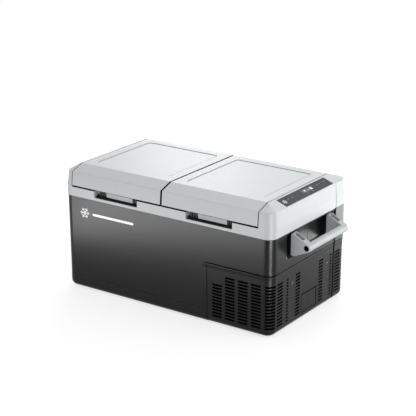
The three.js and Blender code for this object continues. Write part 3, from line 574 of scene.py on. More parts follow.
def add_shell():
    low, high = TRAY_TOP + GAP, FRAME_BOTTOM - GAP
    shell = loft("shell", body_levels(VENT_TOP + GAP, high, 0, 1.2), 16)
    lower = loft("lower", body_levels(low, VENT_TOP + 12, 0, 1.4), 16)
    common(lower, box((-500, VENT_START - GAP), (-300, 300), (0, 400)))
    bevel(lower, at_x(VENT_START - GAP), 0.6)
    join(shell, lower)
    inside = loft("inside", [body_level(low - 2, WALL), body_level(high + 2, WALL)], 16)
    for side in (1, -1):
        cut(inside, scoop(side, WALL))
        cut(shell, scoop(side))
        cut(inside, *pillars(side))
        cut(shell, box(span(side, HALF_LENGTH - 15.5, HALF_LENGTH + 2), (-0.9, 0.9), (228, 312)))
    cut(shell, inside)
    for side in (1, -1):
        join(shell, *pillars(side))
    cut(shell, groove_cutter(VENT_TOP - 5, high, 0))
    cut(shell, step_band())
    piece(shell, "body_shell", "cabinet", "dark_plastic", ["outer_shell"])


def step_band():
    """The sloped recess above the vent cover, run out to the left of it on both long faces."""
    skins = [HALF_DEPTH - 1 - BODY_DRAFT * (FRAME_BOTTOM - z) / FRAME_BOTTOM for z in (177, 195)]
    tools = []
    for sign in (-1, 1):
        section = [(skins[0] - 1.5, 177), (skins[1] + 0.02, 195), (skins[1] + 5, 195), (skins[0] + 5, 177)]
        tool = sweep("band", mirrored(section, sign), "x", [(149, 0), (VENT_START + 1, 0)])
        for vertex in tool.data.vertices:
            if vertex.co.x < 150 * MM and vertex.co.z > 180 * MM:
                vertex.co.x += 5 * MM
        tools.append(tool)
    return together("bands", tools)


def add_tray():
    tray = loft("tray", body_levels(TRAY_BOTTOM, TRAY_TOP, -0.3, 0.5), 16)
    end, half = 371, 209
    vent_side = box((VENT_START - GAP, 500), (-300, 300), (-30, 50))
    cut(vent_side, box((VENT_START - 1, end), (-half, half), (-40, 60)))
    cut(tray, vent_side)
    room = loft("room", body_levels(TRAY_BOTTOM + WALL, TRAY_TOP + 4, WALL), 16)
    common(room, box((-500, VENT_START - GAP - WALL), (-300, 300), (-30, 60)))
    arm = box((VENT_START - 2 * WALL, end - WALL), (WALL - half, half - WALL), (TRAY_BOTTOM + WALL, 60))
    join(room, arm)
    cut(tray, room)
    cut_edge = at_x(VENT_START - GAP)
    bevel(tray, lambda a, b: cut_edge(a, b) and min(abs(a.y), abs(b.y)) > half + 0.5, 0.6)
    piece(tray, "lower_tray", "cabinet", "dark_plastic", ["base_tray"])


# ---- vent cover
def slot(path, half, depth=8, flare=0.25, undercut=2):
    """One louvre: a capsule along a path of (x, y, nx, ny) points on the skin, flared at its mouth."""
    lengths = [0]
    for a, b in zip(path, path[1:]):
        lengths.append(lengths[-1] + math.dist(a[:2], b[:2]))
    total = lengths[-1]
    stations = [0, 0.12, 0.35, 0.65, 1]
    marks = [s * half for s in stations]
    middle = [d for d in lengths if half + 0.5 < d < total - half - 0.5]
    marks = marks + middle + [total - m for m in reversed(marks)]

    def at(d):
        for k in range(len(path) - 1):
            if d <= lengths[k + 1] or k == len(path) - 2:
                t = (d - lengths[k]) / (lengths[k + 1] - lengths[k])
                return [a + (b - a) * t for a, b in zip(path[k], path[k + 1])]

    rings = []
    for d in marks:
        tip = min(d, total - d)
        tall = math.sqrt(max(0.02, half ** 2 - max(0, half - tip) ** 2))
        x, y, nx, ny = at(d)
        back = tall * (1 + undercut / half)
        section = [(3, tall + flare), (0, tall + flare), (-flare, tall), (-depth, back)]
        line = [(x + nx * o, y + ny * o, h) for o, h in section]
        line += [(x + nx * o, y + ny * o, -h) for o, h in reversed(section)]
        rings.append(line)
    return rings


def slot_paths(inset):
    """Every louvre's path on the vent cover's skin at height z."""
    def paths(z, row):
        _, x1, y1, radius, _ = body_level(z, inset)
        found = []
        for sign in (-1, 1):
            for start, end, rows in FRONT_LOUVRES:
                if row < rows:
                    found.append([(start, sign * y1, 0, sign), (end, sign * y1, 0, sign)])
            for near, far in END_LOUVRES:
                found.append([(x1, sign * near, 1, 0), (x1, sign * far, 1, 0)])
            bend = []
            cx, cy = x1 - radius, y1 - radius
            first = math.asin((CORNER_LOUVRE[0] - cx) / radius)
            for k in range(11):
                t = first + (math.pi / 2 - first) * k / 10
                nx, ny = math.sin(t), math.cos(t)
                bend.append((cx + radius * nx, sign * (cy + radius * ny), nx, sign * ny))
            bend.append((x1, sign * CORNER_LOUVRE[1], 1, 0))
            found.append(bend)
        return found
    return paths


SCREW_PROFILE = ((0.01, -11), (1.4, -11), (1.4, 0.05), (4.2, 0.1), (4.2, 0.9), (3.7, 1.5), (2.6, 1.95),
                 (0.01, 2.1))


def add_vent():
    inset = 1.4
    low = TRAY_BOTTOM + GAP
    levels = [body_level(max(low, z), inset) for z in CURL]
    shoulder = ((174, inset), (178, inset - 0.1), (186.6, 0.35), (188.2, 0.45), (189.3, 1.3))
    levels += [body_level(*level) for level in shoulder]
    cover = loft("cover", levels, 16)
    inner = [body_level(max(low - 0.2, z - 0.1), inset + WALL) for z in CURL]
    cut(cover, loft("inner", inner + [body_level(VENT_TOP + 2, inset + WALL)], 16))
    common(cover, box((VENT_START + GAP, 500), (-300, 300), (-30, 300)))
    tools = []
    paths = slot_paths(inset)
    for row in range(LOUVRE_ROWS):
        z = LOUVRE_FIRST + row * LOUVRE_PITCH
        for path in paths(z, row):
            rings = slot(path, LOUVRE_HALF)
            tools.append(make("slot", *skin([[(x, y, h + z) for x, y, h in line] for line in rings])))
        if z < COVER_SCREW[1] - 8:
            x1 = body_level(z, inset)[1]
            for sign in (-1, 1):
                rings = slot([(x1, sign * 92, 1, 0), (x1, sign * 121, 1, 0)], 0.9, 0.7, 0.5, 0)
                tools.append(make("rib", *skin([[(x, y, h + z) for x, y, h in line] for line in rings])))
    cut(cover, together("slots", tools))
    window = rect((-46.5, 46.5), (10.5, 77.5), 2.5)
    cut(cover, sweep("window", window, "x", [(380, 0), (405.2, 0), (406.6, -1), (420, -1)]))
    cut(cover, groove_cutter(TRAY_BOTTOM, VENT_TOP, inset))
    y, z = COVER_SCREW
    cut(cover, *[rod("x", (HALF_LENGTH, side * y, z), 1.8, 30) for side in (-1, 1)])
    bevel(cover, at_x(VENT_START + GAP), 1.0)
    piece(cover, "vent_shell", "cabinet", "dark_plastic", ["vent_cover"])
    # a black sheet behind the louvres paints the shade inside the bay
    add_louvre_shade_sheet(inset + WALL + 1)

    face = body_level(z, inset)[1]
    for name, side in (("front", -1), ("rear", 1)):
        profile = [(radius, face + out) for radius, out in SCREW_PROFILE]
        screw = turned("screw", profile, "x", (0, side * y, z))
        for turn in (45, 135):
            arm = box((face + 0.9, face + 4), (-0.45, 0.45), (-2.2, 2.2))
            placed(arm, Matrix.Translation((0, side * y, z)) @ Matrix.Rotation(math.radians(turn), 4, "X"))
            cut(screw, arm)
        piece(screw, f"screw_{name}", "cabinet", "black_steel", [f"vent_screw_{name}"])


def add_louvre_shade_sheet(inset):
    """A thin black sheet just behind the louvres: painted shade for the dark bay inside them."""
    low, high = EDGE_ROUND + TRAY_BOTTOM + 0.5, VENT_TOP + 4
    louvre_shade = loft("louvre_shade", [body_level(low, inset), body_level(high, inset)], 16)
    cut(louvre_shade, loft("inner", [body_level(z, inset + 1) for z in (0, VENT_TOP + 8)], 16))
    common(louvre_shade, box((VENT_START + 2, 500), (-300, 300), (0, 300)))
    cut(louvre_shade, box((380, 420), (-50, 50), (0, 81)))
    y, z = COVER_SCREW
    cut(louvre_shade, *[rod("x", (HALF_LENGTH, side * y, z), 2.2, 40) for side in (-1, 1)])
    piece(louvre_shade, "louvre_shade_sheet", "cabinet", "matt_black")


# ---- light top frame
def grip_outline(x0, x1):
    return rect((x0, x1), (GRIP_FLOOR, LEDGE + 12), [4, 4, 0, 0], 5)


def add_frame():
    h, d = HALF_LENGTH, HALF_DEPTH
    rim = [(3 - h, h - 3, d - 3, CORNER_RADIUS - 3, FRAME_BOTTOM), (-h, h, d, CORNER_RADIUS, FRAME_BOTTOM),
           (-h, h, d, CORNER_RADIUS, LEDGE), (6 - h, h - 6, d - 6, CORNER_RADIUS - 6, LEDGE)]
    top = loft("frame", eased(rim, [1.3, 0.7]), 16)
    ends = loft("ends", eased(crown_levels(0), [0, 1.6, 1.2], 4), 16)
    middle = box((FRAME_END_LEFT, FRAME_END_RIGHT), (-300, 300), (0, 500))
    cut(ends, middle)
    bevel(ends, at_x(FRAME_END_LEFT, FRAME_END_RIGHT), 0.8)
    join(top, ends)
    hollow = loft("hollow", [crown_levels(WALL)[k] for k in (0, 1, 2, 3)], 16)
    for vertex in hollow.data.vertices:
        if vertex.co.z < 320 * MM:
            vertex.co.z = (FRAME_BOTTOM - 5) * MM
    rooms = box((-500, 500), (-500, 500), (0, LEDGE - WALL))
    join(rooms, box((-500, FRAME_END_LEFT - WALL), (-500, 500), (0, 500)),
         box((FRAME_END_RIGHT + WALL, 500), (-500, 500), (0, 500)))
    cut(top, common(hollow, rooms))
    for half in HALVES.values():
        (x0, x1), (m0, m1) = half["grip"], half["mouth"]
        for sign in (-1, 1):
            across = span(sign, d - GRIP_DEPTH - WALL, d - 1)
            join(top, box((x0 - WALL, x1 + WALL), across, (GRIP_FLOOR - WALL, LEDGE - 1)))
            back, front = sign * (d - GRIP_DEPTH), sign * d
            stations = [(back + sign * step, inset) for step, inset in ((0, 2.5), (0.8, 0.8), (2.5, 0))]
            stations += [(front + sign * step, inset)
                         for step, inset in ((-1.2, 0), (-0.3, -0.5), (0.2, -1.2), (8, -1.2))]
            cut(top, sweep("grip", grip_outline(x0, x1), "y", stations))
        mouth = [(0, 300), (0, LEDGE - 1.4), (0.5, LEDGE - 0.4), (1.6, LEDGE + 0.05), (1.6, LEDGE + 8)]
        cut(top, loft("mouth", [(m0 - o, m1 + o, MOUTH_Y + o, MOUTH_RADIUS + o, z) for o, z in mouth], 10))
        for a, b in ((x0 - 0.4, x0 + 4), (x1 - 4, x1 + 0.4)):
            join(top, sweep("boss", rect((228, 233.7), (336, 346.1), 1.6), "x", soft_ends(a, b, 0.4, 2)))
        cut(top, rod("x", ((x0 + x1) / 2, 231.8, 344.5), 1.7, x1 - x0 + 1))
    cut(top, bezel_line())
    cut(top, on_panel(panel_plate("seat", 2 * GAP, [(-PANEL_RECESS, 0), (6, 0)], 3.6)))
    cut(top, on_panel(box((-15, 15), (-135.5, 135.5), (-6, 2))))
    piece(top, "light_frame", "cabinet", "light_plastic", ["top_frame"])


def bezel_line():
    """The soft upright channel in the frame's right end, in line with the body's groove."""
    rings = []
    for z in (FRAME_BOTTOM - 4, SKIRT_BOTTOM, CHAMFER_FOOT + 6):
        x = HALF_LENGTH - SKIRT_LEAN * smooth_step((z - SKIRT_BOTTOM) / (CHAMFER_FOOT - SKIRT_BOTTOM))
        section = [(5, 4.4), (0, 4.4), (-1.3, 3.2), (-1.6, 2.4)]
        line = [(x + o, GROOVE_Y + w, z) for o, w in section]
        line += [(x + o, GROOVE_Y - w, z) for o, w in reversed(section)]
        rings.append(line)
    return make("bezel_line", *skin(rings))


def ledge_shade_strip(outline):
    """A thin black strip lying on the frame's ledge: painted shade in the gap above it."""
    return sweep("seal", outline, "z", [(LEDGE + 0.04, 0), (LEDGE + 0.5, 0), (LEDGE + 0.65, 0.15)])


def add_ledge_gap_shade():
    """Painted shade: black strips on the ledge under the lids' skirts and between the two mouths, where the
    gaps lie in shade.
    """
    y0, y1 = HALF_DEPTH - 14.5, HALF_DEPTH - 0.45
    ledge_shades = [ledge_shade_strip(rect((-19, 2), (-186, 186), 2))]
    for half in HALVES.values():
        (x0, x1), (g0, g1) = half["lid"], half["grip"]
        for a, b in ((x0 - 1, g0 - 0.8), (g1 + 0.8, x1 + 1)):
            for sign in (-1, 1):
                ledge_shades.append(ledge_shade_strip(rect((a, b), span(sign, y0, y1), 0.6, 2)))
    piece(together("ledge_shade_strips", ledge_shades), "ledge_gap_shade_strips", "cabinet", "matt_black")


def add_grip_painted_shade():
    """Painted shade in each grip pocket: a dark sheet over its floor and the foot of its back wall, where
    the pocket lies in shade.
    """
    section = [(-1.6, 0.05), (-1.6, 0.6), (1.3 - GRIP_DEPTH, 1.4), (0.7 - GRIP_DEPTH, 10.5),
               (0.1 - GRIP_DEPTH, 10.5), (0.1 - GRIP_DEPTH, 0.05)]
    grip_shade_sheets = []
    for half in HALVES.values():
        a, b = half["grip"]
        for sign in (-1, 1):
            points = [(sign * (HALF_DEPTH + inward), GRIP_FLOOR + rise) for inward, rise in section]
            outline = rounded(points, [0.3, 0.3, 2, 0.3, 0.1, 0.5])
            grip_shade_sheets.append(sweep("grip_shade_sheet", outline, "x", soft_ends(a + 3.2, b - 3.2, 0.4, 2)))
    piece(together("grip_shade_sheets", grip_shade_sheets), "grip_painted_shade_sheets", "cabinet", "grip_shade_dark")


# Painted shade: black sheets on the frame's end faces darken the gaps next to the lids.
def add_frame_gap_shade():
    gap_shade_sheets = [gap_shade_sheet(FRAME_END_LEFT + 0.03, FRAME_END_LEFT + 0.33),
             gap_shade_sheet(FRAME_END_RIGHT - 0.33, FRAME_END_RIGHT - 0.03)]
    piece(together("gap_shade_sheets", gap_shade_sheets), "frame_gap_shade_sheets", "cabinet", "matt_black")


def gap_shade_sheet(a, b):
    """A thin black sheet over an end wall of a lid, or over the frame's face opposite: painted shade in the
    narrow gap between them.
    """
    return sweep("gap_shade_piece", shrunk_section(0.85), "x", [(a, 0), (b, 0)])


def shrunk_section(d):
    section = lid_section()
    area = sum(a[0] * b[1] - b[0] * a[1] for a, b in zip(section, section[1:] + section[:1]))
    return shrunk(section if area > 0 else section[::-1], d)


# ---- control panel
SLOPE = math.atan((HEIGHT - CHAMFER_FOOT) / (HALF_LENGTH - SKIRT_LEAN - TOP_RIGHT))
PANEL = Matrix.Translation((
    HALF_LENGTH - SKIRT_LEAN - PANEL_FROM_FOOT * math.cos(SLOPE), 0,
    CHAMFER_FOOT + PANEL_FROM_FOOT * math.sin(SLOPE))) @ Matrix.Rotation(SLOPE, 4, "Y")


def on_panel(obj):
    return placed(obj, PANEL)


def panel_plate(name, grow, stations, corner):
    x, y = (PANEL_WIDTH + grow) / 2, (PANEL_LENGTH + grow) / 2
    return sweep(name, rect((-x, x), (-y, y), corner, 6), "z", stations)


def strokes(name, lines, width, low, high):
    """Flat printed bars, each along a line ((x, y), (x, y)) in the panel's own frame."""
    bars = []
    for (ax, ay), (bx, by) in lines:
        along = Vector((bx - ax, by - ay)).normalized()
        side = Vector((-along.y, along.x)) * width / 2
        a, b = Vector((ax, ay)) - along * width / 2, Vector((bx, by)) + along * width / 2
        outline = [tuple(a + side), tuple(a - side), tuple(b - side), tuple(b + side)]
        bars.append(sweep("bar", rounded(outline, width * 0.3, 2), "z", [(low, 0), (high, 0)]))
    return together(name, bars)


def snowflake(size, centre=(0, 0)):
    """A plain six-armed snow crystal as a list of lines."""
    lines = []
    cx, cy = centre
    for k in range(6):
        a = math.radians(60 * k)
        tip = (cx + size * math.cos(a), cy + size * math.sin(a))
        lines.append(((cx, cy), tip))
        for turn in (-1, 1):
            base = (cx + 0.58 * size * math.cos(a), cy + 0.58 * size * math.sin(a))
            b = a + turn * math.radians(48)
            lines.append((base, (base[0] + 0.32 * size * math.cos(b), base[1] + 0.32 * size * math.sin(b))))
    return lines


SEGMENTS = {"a": ((-1, -1), (-1, 1)), "b": ((-1, 1), (0, 1)), "c": ((0, 1), (1, 1)), "d": ((1, -1), (1, 1)),
            "e": ((0, -1), (1, -1)), "f": ((-1, -1), (0, -1)), "g": ((0, -1), (0, 1))}
DIGITS = {"1": "bc", "8": "abcdefg", "4": "fgbc", "-": "g"}


def digit_lines(text, centre_y, tall=4.6, wide=2.3, pitch=7.4):
    """Seven-segment figures; x runs down the slope, so it is each figure's own downward axis."""
    lines = []
    start = centre_y - pitch * (len(text) - 1) / 2
    for i, character in enumerate(text):
        for segment in DIGITS[character]:
            (u0, v0), (u1, v1) = SEGMENTS[segment]
            place = lambda u, v: (DISPLAY_X + u * tall, start + i * pitch + v * wide)
            lines.append((place(u0, v0), place(u1, v1)))
    return lines


def add_panel():
    thick = PANEL_RECESS - GAP
    film = panel_plate("film", 0, [(-thick, 0), (-0.3, 0), (-0.08, 0.08), (0, 0.3)], 3)
    tools = [rod("z", (MARK_LINE, v, 0), 4.5, 6) for v in BUTTONS.values()]
    tools += [rod("z", (MARK_LINE, v, 0), 1.8, 6) for v in (-71, -42)]
    y0, y1 = DISPLAY_Y
    x0, x1 = DISPLAY_X - DISPLAY_HALF, DISPLAY_X + DISPLAY_HALF
    outline = rect((x0, x1), (y0, y1), 0.9)
    tools.append(sweep("glass", outline, "z", [(-3, -GAP), (3, -GAP)]))
    cut(film, *tools)
    piece(on_panel(film), "panel_skin", "cabinet", "panel_film", ["panel_overlay"])
    glass = sweep("glass", outline, "z", [(-2.5, 0), (-0.35, 0), (-0.1, 0.25)])
    piece(on_panel(glass), "display_glass", "cabinet", "smoked_glass", ["display_window"])
    figures = strokes("figures", digit_lines("4", 2) + digit_lines("-18", 32), 1.3, -0.14, -0.04)
    piece(on_panel(figures), "display_figures", "cabinet", "digit_lit")
    for name, v, look in (("power", -71, "led_lit"), ("fault", -42, "led_dark")):
        profile = [(0.01, -4), (1.5, -4), (1.5, -0.5), (1.2, -0.15), (0.01, 0)]
        dome = turned("led", profile, "z", (MARK_LINE, v, 0), 24)
        piece(on_panel(dome), f"led_{name}", "cabinet", look, [f"{name}_led"])
    add_buttons()
    badge = strokes("badge", snowflake(8.6, (0, -123)), 1.5, 0.02, 0.1)
    piece(on_panel(badge), "panel_snow_mark", "cabinet", "print_grey")
    ticks = [((MARK_LINE + 14, v - 2), (MARK_LINE + 14, v + 2)) for v in (2, 32)]
    ticks += [((MARK_LINE - 1.4, 76), (MARK_LINE + 1.4, 76))]
    marks = strokes("marks", ticks, 1.0, 0.02, 0.08)
    piece(on_panel(marks), "panel_small_marks", "cabinet", "print_grey")


def add_buttons():
    icons = {
        "minus": [((MARK_LINE, -1.6), (MARK_LINE, 1.6))],
        "plus": [((MARK_LINE, -1.6), (MARK_LINE, 1.6)), ((MARK_LINE - 1.6, 0), (MARK_LINE + 1.6, 0))],
        "set": [((MARK_LINE + 1, -1.6), (MARK_LINE - 1, 0)), ((MARK_LINE - 1, 0), (MARK_LINE + 1, 1.6))],
        "power": [((MARK_LINE - 2.2, 0), (MARK_LINE - 0.2, 0))],
    }
    arc = [math.radians(a) for a in range(40, 321, 40)]
    ring_points = [(MARK_LINE - 1.9 * math.cos(a), 1.9 * math.sin(a)) for a in arc]
    icons["power"] += list(zip(ring_points, ring_points[1:]))
    for name, v in BUTTONS.items():
        profile = [(0.01, -4.4), (1.5, -4.4), (1.5, -1.1), (4.2, -1.05), (4.2, 0), (4.05, 0.2), (3.7, 0.28),
                   (3.3, 0.16), (0.01, 0.06)]
        cap = turned("cap", profile, "z", (MARK_LINE, v, 0), 40)
        piece(on_panel(cap), f"key_{name}", f"button_{name}", "panel_film", [f"button_{name}"])
        lines = [((ax, ay + v), (bx, by + v)) for (ax, ay), (bx, by) in icons[name]]
        icon = strokes("icon", lines, 0.6, 0.1, 0.2)
        piece(on_panel(icon), f"key_{name}_mark", f"button_{name}", "print_grey")


# ---- lids
def lid_section():
    foot, top = HALF_DEPTH - SKIRT_LEAN, TOP_HALF_DEPTH
    half = [(HALF_DEPTH, SKIRT_BOTTOM + 1), (foot, CHAMFER_FOOT), (top, HEIGHT)]
    points = half + [(-y, z) for y, z in reversed(half)]
    return rounded(points, [1.2, 2.2, 1.8, 1.8, 2.2, 1.2], 4)


def rear_notches(half):
    g0, g1 = half["grip"]
    return [box((x, x + 6), (226, 240), (330, 349.6)) for x in (g0 - 1, g1 - 5)]


def add_lid(side):
    half = HALVES[side]
    (x0, x1), (m0, m1) = half["lid"], half["mouth"]
    body = f"lid_{side}"
    cover = sweep("lid", lid_section(), "x", soft_ends(x0, x1, 0.8))
    inner = [(HALF_DEPTH - WALL, SKIRT_BOTTOM - 5), (HALF_DEPTH - WALL, SKIRT_BOTTOM),
             (HALF_DEPTH - SKIRT_LEAN - WALL, CHAMFER_FOOT - 2), (TOP_HALF_DEPTH + 8, 405.5)]
    inner += [(-y, z) for y, z in reversed(inner)]
    cut(cover, sweep("inner", inner, "x", [(x0 + WALL, 0), (x1 - WALL, 0)]))
    steps = [(-0.9, 0), (-0.35, 0.1), (-0.05, 0.4), (0.1, 1.5), (0.35, 1.85), (0.9, 2.02), (0.9, 10)]
    recess = [(m0 + 11 - o, m1 - 13 + o, 149 + o, 13 + o, 409.1 + rise) for o, rise in steps]
    trench = [(-4.6, 409.5), (-4.1, 408.1), (-3.6, 407.7), (-0.5, 407.7), (-0.15, 408.0), (-0.1, 409.5)]
    cut(cover, loft("recess", recess, 12), *rear_notches(half))
    cut(cover, hoop("trench", trench, m0 + 11, m1 - 13, 149, 13, 12))
    piece(cover, f"lid_shell_{side}", body, "light_plastic", [f"lid_cover_{side}"])
    # painted shade: black sheets on both end walls darken the gaps at the lid's ends
    gap_shade_sheets = together("gap_shade_sheets", [gap_shade_sheet(x0 - 0.33, x0 - 0.03), gap_shade_sheet(x1 + 0.03, x1 + 0.33)])
    piece(cut(gap_shade_sheets, *rear_notches(half)), f"lid_gap_shade_sheets_{side}", body, "matt_black")
    add_lid_liner(side)
    seal = rounded([(5.2, 346.7), (13.8, 346.7), (13.8, 345.4), (12.2, 344.6), (11.6, 343), (7.4, 343),
                    (6.8, 344.6), (5.2, 345.4)], 0.7, 3)
    gasket = hoop("gasket", seal, m0, m1, MOUTH_Y, MOUTH_RADIUS)
    piece(gasket, f"gasket_{side}", body, "rubber", [f"lid_gasket_{side}"])


def add_lid_liner(side):
    half = HALVES[side]
    (x0, x1), (m0, m1) = half["lid"], half["mouth"]
    inset = WALL + GAP
    y = HALF_DEPTH - inset
    outline = rect((x0 + inset, x1 - inset), (-y, y), 3)
    liner = sweep("liner", outline, "z", [(347, 0.6), (347.4, 0.1), (349, 0.1)])

    def plug(offset, low, high, edge):
        first = (m0 + 3 + offset, m1 - 3 - offset, MOUTH_Y - 3 - offset, MOUTH_RADIUS - 3 - offset)
        small = (first[0] + edge, first[1] - edge, first[2] - edge, first[3] - edge * 0.6)
        tiny = (first[0] + 3 * edge, first[1] - 3 * edge, first[2] - 3 * edge, first[3] - edge)
        if not edge:
            return loft("plug", [(*first, low), (*first, high)], 10)
        return loft("plug", eased([(*tiny, low), (*small[:2], small[2], small[3], low), (*first, low + edge),
                                   (*first, high)], [edge, edge]), 10)

    join(liner, plug(0, 334, 348, 1.5))
    cut(liner, plug(2, 336, 360, 0), *rear_notches(half))
    bead = [(-22, 333), (-20, 333), (-20.4, 334.7), (-21.6, 334.7)]
    cut(liner, hoop("bead", bead, m0, m1, MOUTH_Y, MOUTH_RADIUS + 8))
    piece(liner, f"lid_inside_{side}", f"lid_{side}", "liner_plastic", [f"lid_liner_{side}"])
    add_combs(side)


COMB = [(222, 346.8), (222, 331), (224, 330), (228, 330), (229.3, 332), (229.3, 346.8)]
COMB_BACK = [(221.4, 346.8), (221.4, 331.5), (223.2, 331.5), (223.2, 346.8)]


def add_combs(side):
    """Dark finned bearings that the latch levers turn in, one pair on each long side."""
    for sign, place in ((-1, "front"), (1, "rear")):
        blocks = []
        for a, b in HALVES[side]["knuckles"]:
            count = 3 if b - a > 20 else 2
            width = (b - a) / (count + (count - 1) * 0.25)
            for k in range(count):
                start = a + k * width * 1.25
                outline = rounded(mirrored(COMB, sign), 1)
                blocks.append(sweep("fin", outline, "x", soft_ends(start, start + width, 0.4, 2)))
            back = rounded(mirrored(COMB_BACK, sign), 0.4)
            blocks.append(sweep("back", back, "x", [(a + 0.3, 0), (b - 0.3, 0)]))
        comb = blocks[0]
        join(comb, *blocks[1:])
        cut(comb, rod("x", (0, sign * LATCH[0], LATCH[1]), 2.6, 900))
        piece(comb, f"latch_comb_{place}_{side}", f"lid_{side}", "black_plastic")


LEVER = [(229, 343.2), (228.4, 344.4), (223.4, 344.4), (222.2, 341), (222.6, 338.2), (223.4, 333.6),
         (218.2, 333), (218.2, 331), (222.4, 329), (224.6, 328), (226.2, 328.6), (228.2, 338)]


def add_levers(side):
    near, far = HALVES[side]["knuckles"]
    for sign, place in ((-1, "front"), (1, "rear")):
        outline = rounded(mirrored(LEVER, sign), 0.9, 3)
        lever = sweep("lever", outline, "x", soft_ends(near[1] + 0.6, far[0] - 0.6, 1.0))
        middle = (near[0] + far[1]) / 2
        join(lever, rod("x", (middle, sign * LATCH[0], LATCH[1]), 2.2, far[0] - near[1] + 8))
        piece(lever, f"lever_{place}_{side}", f"latch_{place}_{side}", "handle_plastic",
              [f"latch_lever_{place}_{side}"])


# ---- handles
ARM_CHANNEL = [(417, 325), (417, 277), (443, 268), (453, 320)]
ARM_WELL = [(411.5, 325), (411.5, 291.5), (420, 291.5), (424, 325)]
# outline of the black pad at the foot of each arm well, painted shade there
WELL_SHADE_PAD = [(412, 292), (412, 296), (420, 296), (419.4, 292)]


def add_handle(side):
    bar_x, bar_z = BAR
    arm = [(HANDLE_ROOT, 300.5), (409, 304.5), (414.5, 305)]
    for k in range(13):
        a = math.radians(62 - 12.5 * k)
        arm.append((bar_x + BAR_RADIUS * math.cos(a), bar_z + BAR_RADIUS * math.sin(a)))
    arm += [(418, 231), (411, 231.5), (HANDLE_ROOT, 233.5)]
    radii = [0.5, 3, 5] + [0] * 13 + [6, 4, 0.5]
    outline = mirrored(rounded(arm, radii), side)
    solids, tools = [], []
    for sign in (-1, 1):
        solids.append(sweep("arm", outline, "y", soft_ends(*span(sign, HANDLE_INNER, HANDLE_OUTER), 1.6)))
        channel = rounded(mirrored(ARM_CHANNEL, side), [0, 3, 3, 0])
        tools.append(sweep("channel", channel, "y", soft_ends(*span(sign, 99.6, 117.2), 1.2, 2)))
        well = rounded(mirrored(ARM_WELL, side), [0, 2, 2, 0])
        tools.append(sweep("well", well, "y", soft_ends(*span(sign, 102.4, 114.6), 1.5, 2)))
        mouth, depth = sign * HANDLE_OUTER, -sign * 14
        profile = [(9.2, mouth + depth), (9.6, mouth - sign * 1.2), (9.9, mouth - sign * 0.4),
                   (10.6, mouth + sign * 0.1), (10.6, mouth + sign * 5)]
        tools.append(turned("hole", profile, "y", (side * bar_x, 0, bar_z)))
        for z in (246, 285):
            tools.append(rod("x", (side * (HANDLE_ROOT + 1), sign * 108.5, z), 3.3, 22))
    half_profile = [(BAR_RADIUS, HANDLE_INNER + 2), (BAR_RADIUS, 90), (BAR_RADIUS - 0.7, 84)]
    profile = [(r, -w) for r, w in half_profile] + half_profile[::-1]
    handle = turned("bar", profile, "y", (side * bar_x, 0, bar_z), 56)
    join(handle, *solids)
    cut(handle, *tools)
    end = "right" if side > 0 else "left"
    # Painted shade: black discs deep in the bar-end holes and black pads at the foot of the arm wells, where
    # both lie in shade.
    hole_shades = []
    for sign in (-1, 1):
        a, b = sign * (HANDLE_OUTER - 13.9), sign * (HANDLE_OUTER - 3.5)
        profile = [(8.9, a), (8.9, b - sign * 0.5), (8.4, b)]
        hole_shades.append(turned("hole_shade_core", profile, "y", (side * bar_x, 0, bar_z)))
        well_shade_outline = rounded(mirrored(WELL_SHADE_PAD, side), 0.8, 3)
        hole_shades.append(sweep("well_shade_pad", well_shade_outline, "y", soft_ends(*span(sign, 103, 114), 0.6, 2)))
    piece(together("hole_shades", hole_shades), f"handle_shade_plugs_{end}", "cabinet", "matt_black")
    piece(handle, f"grab_handle_{end}", "cabinet", "handle_plastic", [f"handle_{end}"])


# ---- compartments and baskets
def tub(x0, x1, floor, offset, top):
    def level(z, inset=0.0):
        draft = LINER_DRAFT * max(0, LINER_RIM - z) / (LINER_RIM - LINER_FLOOR)
        s = draft - offset + inset
        return (x0 + s, x1 - s, MOUTH_Y - s, MOUTH_RADIUS + offset - inset * 0.5, z)
    low = floor - offset
    edge = 9
    return loft("tub", eased([level(low, 3 * edge), level(low), level(top)], [edge], 6), 10)


def compartment(side, offset, top):
    m0, m1 = HALVES[side]["mouth"]
    if side == "left":
        return tub(m0, m1, LINER_FLOOR, offset, top)
    return join(tub(m0, DEEP_END, LINER_FLOOR, offset, top), tub(m0, m1, SHALLOW_FLOOR, offset, top))


def add_liner(side):
    m0, m1 = HALVES[side]["mouth"]
    brim = (m0 - 8, m1 + 8, MOUTH_Y + 8, MOUTH_RADIUS + 8)
    flange = loft("flange", [(*brim, LINER_RIM - 1.8), (*brim, LINER_RIM)], 10)
    liner = join(compartment(side, 2, LINER_RIM), flange)
    cut(liner, compartment(side, 0, LINER_RIM + 5))
    piece(liner, f"tub_{side}", "cabinet", "liner_plastic", [f"inner_liner_{side}"])


def wire(points, radius, closed):
    """A round bent wire as a mesh tube, its corners already rounded in the points."""
    sides = 8
    rings = []
    count = len(points)
    for i, p in enumerate(points):
        before = points[i - 1] if closed or i else p
        after = points[(i + 1) % count] if closed or i < count - 1 else p
        along = (Vector(after) - Vector(before)).normalized()
        up = Vector((0, 0, 1)) if abs(along.z) < 0.9 else Vector((1, 0, 0))
        if abs(along.y) < 0.02 and not closed:
            up = Vector((0, 1, 0))
        if abs(along.x) < 0.02 and not closed:
            up = Vector((1, 0, 0))
        u = (up - along * up.dot(along)).normalized()
        v = along.cross(u)
        rings.append([tuple(Vector(p) + (u * math.cos(t) + v * math.sin(t)) * radius)
                      for t in [2 * math.pi * k / sides for k in range(sides)]])
    return make("wire", *skin(rings, closed=closed))


